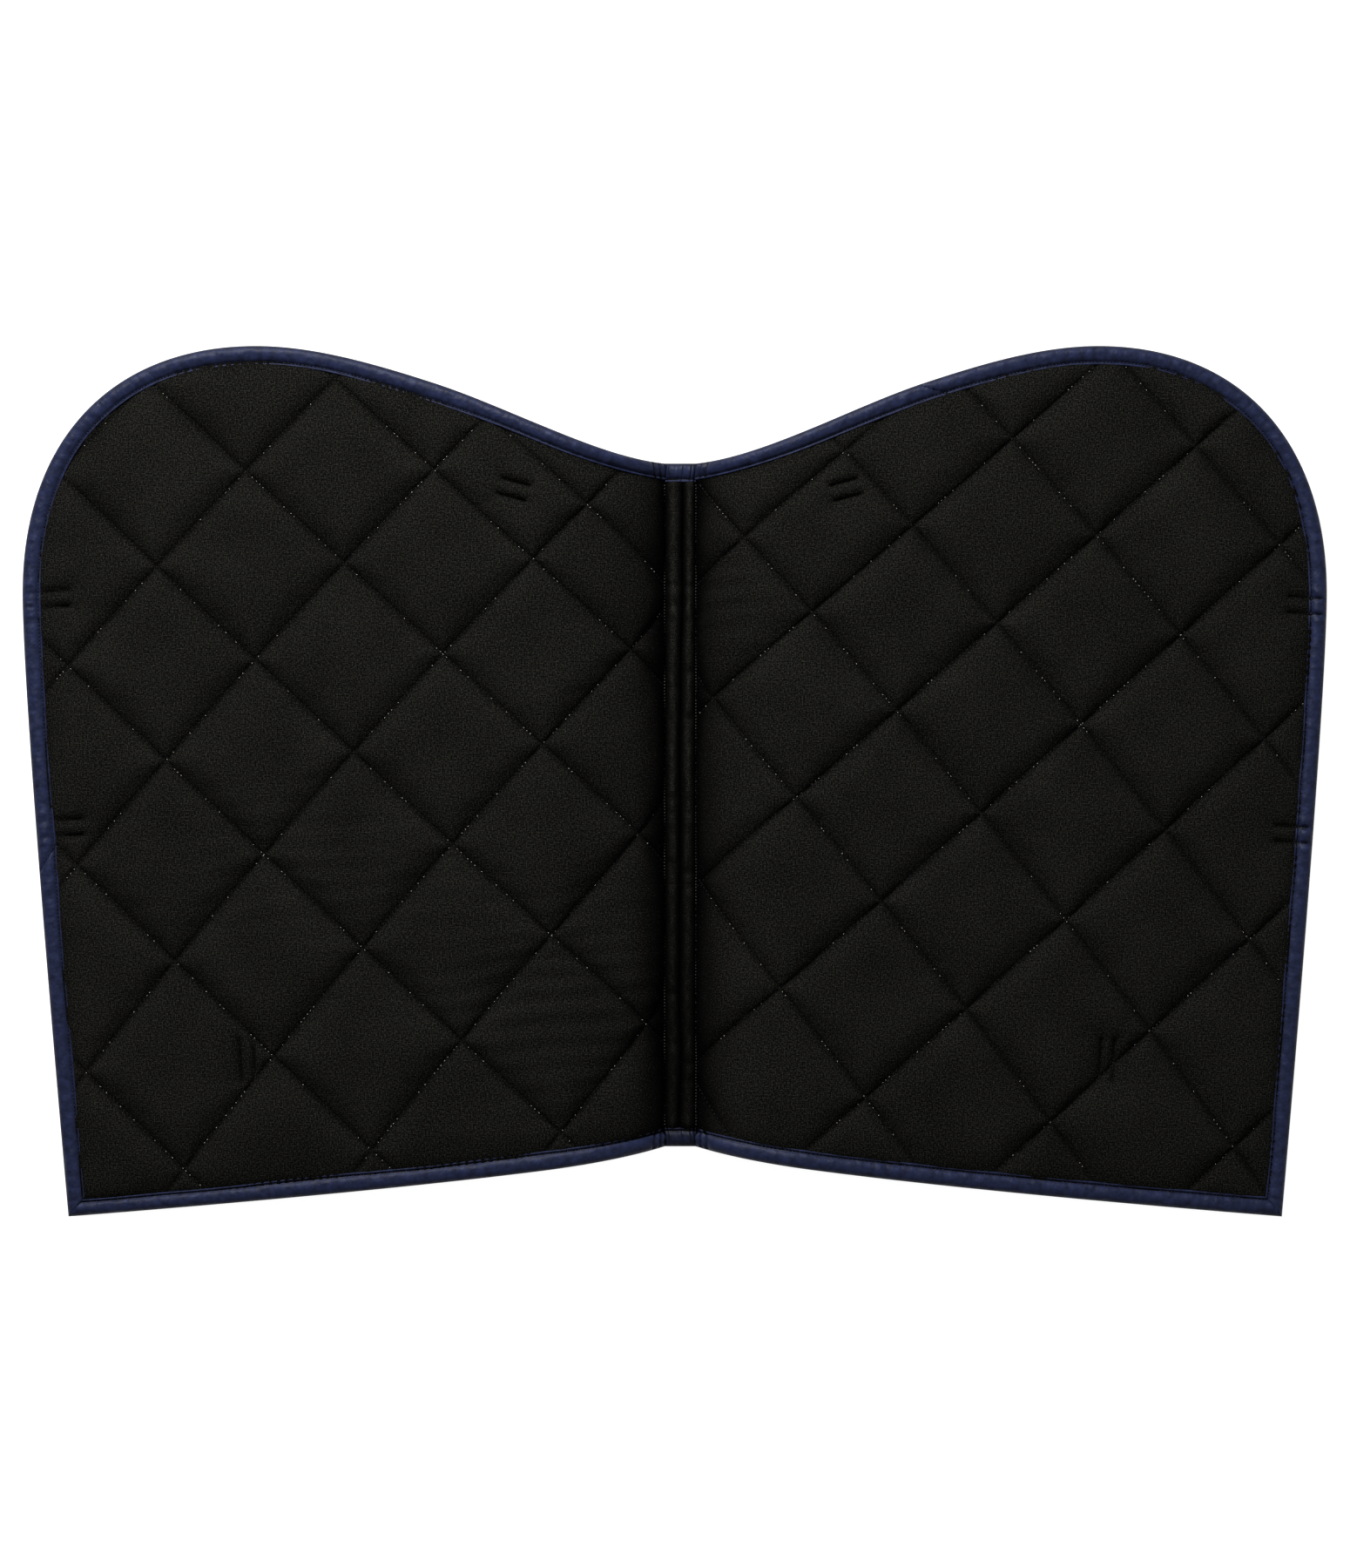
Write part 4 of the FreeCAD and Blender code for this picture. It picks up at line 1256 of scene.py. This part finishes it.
def spine_binding(end):
    """The tape over one end of the spine, gathered in folds."""
    inset, height, skin = tape_section()
    edge, inwards = (SPINE_FRONT, -1) if end == "front" else (SPINE_REAR, 1)
    x = np.linspace(-HINGE_X + 0.1 * MM, HINGE_X - 0.1 * MM, 91)[:, None]
    lean = x + 0.15 * (inset - 8 * MM)
    fold = sum(depth * bell(lean - at * MM, width * MM) for at, width, depth in SPINE_FOLDS)
    pinch = (0.68 + 0.30 * smooth((HINGE_X - np.abs(x)) / (4 * MM))) * (1 - fold)
    # Painted shade at the tape's edge and groove and in its folds, and a painted shadow over the whole tape
    # at the rear end.
    shadow = 0.45 if end == "rear" else 1.0
    painted_light = painted_tape_shade(inset) * (1 - 1.7 * np.minimum(fold, 0.5)) * shadow
    ruffle = wobble(x, inset * 0.3, 4 * MM, 60.0) * tape_body(inset, skin)
    z = HINGE_Z - 0.2 * MM + height * pinch + np.sign(height) * 0.35 * MM * ruffle
    y = edge + inwards * inset
    rings = packed(x, y, np.maximum(z, 1.55 * MM))
    uv = packed(inset * np.sign(height + 1e-9), x)
    piece = sweep("spine_binding_" + end + "_tape", rings, uv, SATIN, painted_light.reshape(-1))
    rides(piece, "spine", "binding_satin", "spine_binding_" + end)


def spine_under():
    """The outer face of the spine: two strips of shell, and the tape sewn over their seam."""
    line = np.array([(0.2, 2.2), (5.0, 2.2), (9.0, 2.5), (12.0, 3.6), (14.2, 5.0)]) * MM
    section = np.concatenate([line, line[::-1] + [0, 0.8 * MM]])
    y = np.linspace(SPINE_REAR + 2 * MM, SPINE_FRONT - 2 * MM, 160)[:, None]
    for side, sign in SIDES.items():
        rings = packed(sign * section[:, 0], y, section[:, 1])
        # An even, slight painted shade along the whole facing.
        painted_light = np.full(rings.size // 3, 0.8)
        facing = sweep("spine_facing_" + side, rings, packed(section[:, 0], y), SHELL, painted_light)
        rides(facing, "spine", "outer_fabric", "spine_shell_" + side)
    low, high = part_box("spine_tape")
    y = np.linspace(low.y, high.y, 200)
    centres = packed(0.0, y, 0.75 * MM)
    tape = strap("spine_cover_tape", centres, (1.0, 0, 0), high.x - low.x, 0.68 * MM, WEBBING, (0, 0, 1.0))
    rides(tape, "spine", "binding_satin", "spine_tape")
    y = np.arange(low.y + 4 * MM, high.y - 3 * MM, 4.2 * MM)
    rows = [line_spots(sign * (high.x - 2.2 * MM), y, 0.05 * MM, -1.0) for sign in (-1, 1)]
    rides(stitches("spine_tape_stitching", joined(rows), 2.6 * MM, 0.2 * MM, NAVY_THREAD), "spine")


for side in SIDES:
    flap_cloth(side)
    quilting(side)
    binding(side)
    binding_stitching(side)
    row_stitching(side)
    keeper(side)
    tab(side)
    badge(side)
    spine_roll(side)
topstitching()
spine_binding("front")
spine_binding("rear")
spine_under()


# ---------------------------------------------------------------- stage, light and camera
CAMERA_HEIGHT = 3.0
VIEW_HEIGHT = 1.3986                # what the picture's height takes in, at the pad
FLOOR_SIZE = 12.0


def floor():
    """A pale floor that glows a little, as a light table does, and that can't be seen from below."""
    g = Cloth("floor", (0.40, 0.40, 0.40), 0.9, specular=0.1)
    uneven = g.node("ShaderNodeTexNoise")
    uneven.inputs["Scale"].default_value = 3.0
    g.wire(g.ramp(uneven.outputs[0], [(0.0, (0.39, 0.39, 0.39)), (1.0, (0.41, 0.41, 0.41))]),
           g.shader.inputs["Base Color"])
    g.shader.inputs["Emission Color"].default_value = (1, 1, 1, 1)
    g.shader.inputs["Emission Strength"].default_value = 0.9
    below = g.node("ShaderNodeMixShader")
    g.wire(g.node("ShaderNodeNewGeometry").outputs["Backfacing"], below.inputs["Fac"])
    g.wire(g.shader.outputs[0], below.inputs[1])
    g.wire(g.node("ShaderNodeBsdfTransparent").outputs[0], below.inputs[2])
    g.wire(below.outputs[0], g.tree.nodes["Material Output"].inputs["Surface"])
    corners = [(x * FLOOR_SIZE, y * FLOOR_SIZE, 0) for x, y in ((-1, -1), (1, -1), (1, 1), (-1, 1))]
    sheet = build("floor", corners, [(0, 1, 2, 3)], material=g.material)
    sheet.location.z = -0.4 * MM


def area_light(name, place, energy, size):
    light = bpy.data.lights.new(name, "AREA")
    light.energy = energy
    light.size = size
    lamp = bpy.data.objects.new(name, light)
    lamp.location = place
    lamp.rotation_mode = "QUATERNION"
    lamp.rotation_quaternion = (-Vector(place)).to_track_quat("-Z", "Y")
    bpy.context.scene.collection.objects.link(lamp)


def studio():
    """White surroundings, a soft light beyond the withers and a weak one opposite."""
    world = bpy.data.worlds.new("studio")
    world.use_nodes = True
    world.node_tree.nodes["Background"].inputs["Color"].default_value = (1, 1, 1, 1)
    world.node_tree.nodes["Background"].inputs["Strength"].default_value = 0.30
    bpy.context.scene.world = world
    area_light("key", (-0.8, 2.35, 1.9), 175, 0.7)
    area_light("fill", (2.5, -1.0, 2.6), 12, 3.0)
    bpy.context.scene.view_settings.view_transform = "Standard"


def camera():
    """Above the pad, looking straight down, with the withers at the top of the picture."""
    lens = bpy.data.cameras.new("camera")
    lens.sensor_width = 36.0
    lens.lens = lens.sensor_width * CAMERA_HEIGHT / VIEW_HEIGHT
    view = bpy.data.objects.new("camera", lens)
    view.location = (-0.0047, -0.0012, CAMERA_HEIGHT + 0.03)
    bpy.context.scene.collection.objects.link(view)
    bpy.context.scene.camera = view


floor()
studio()
camera()
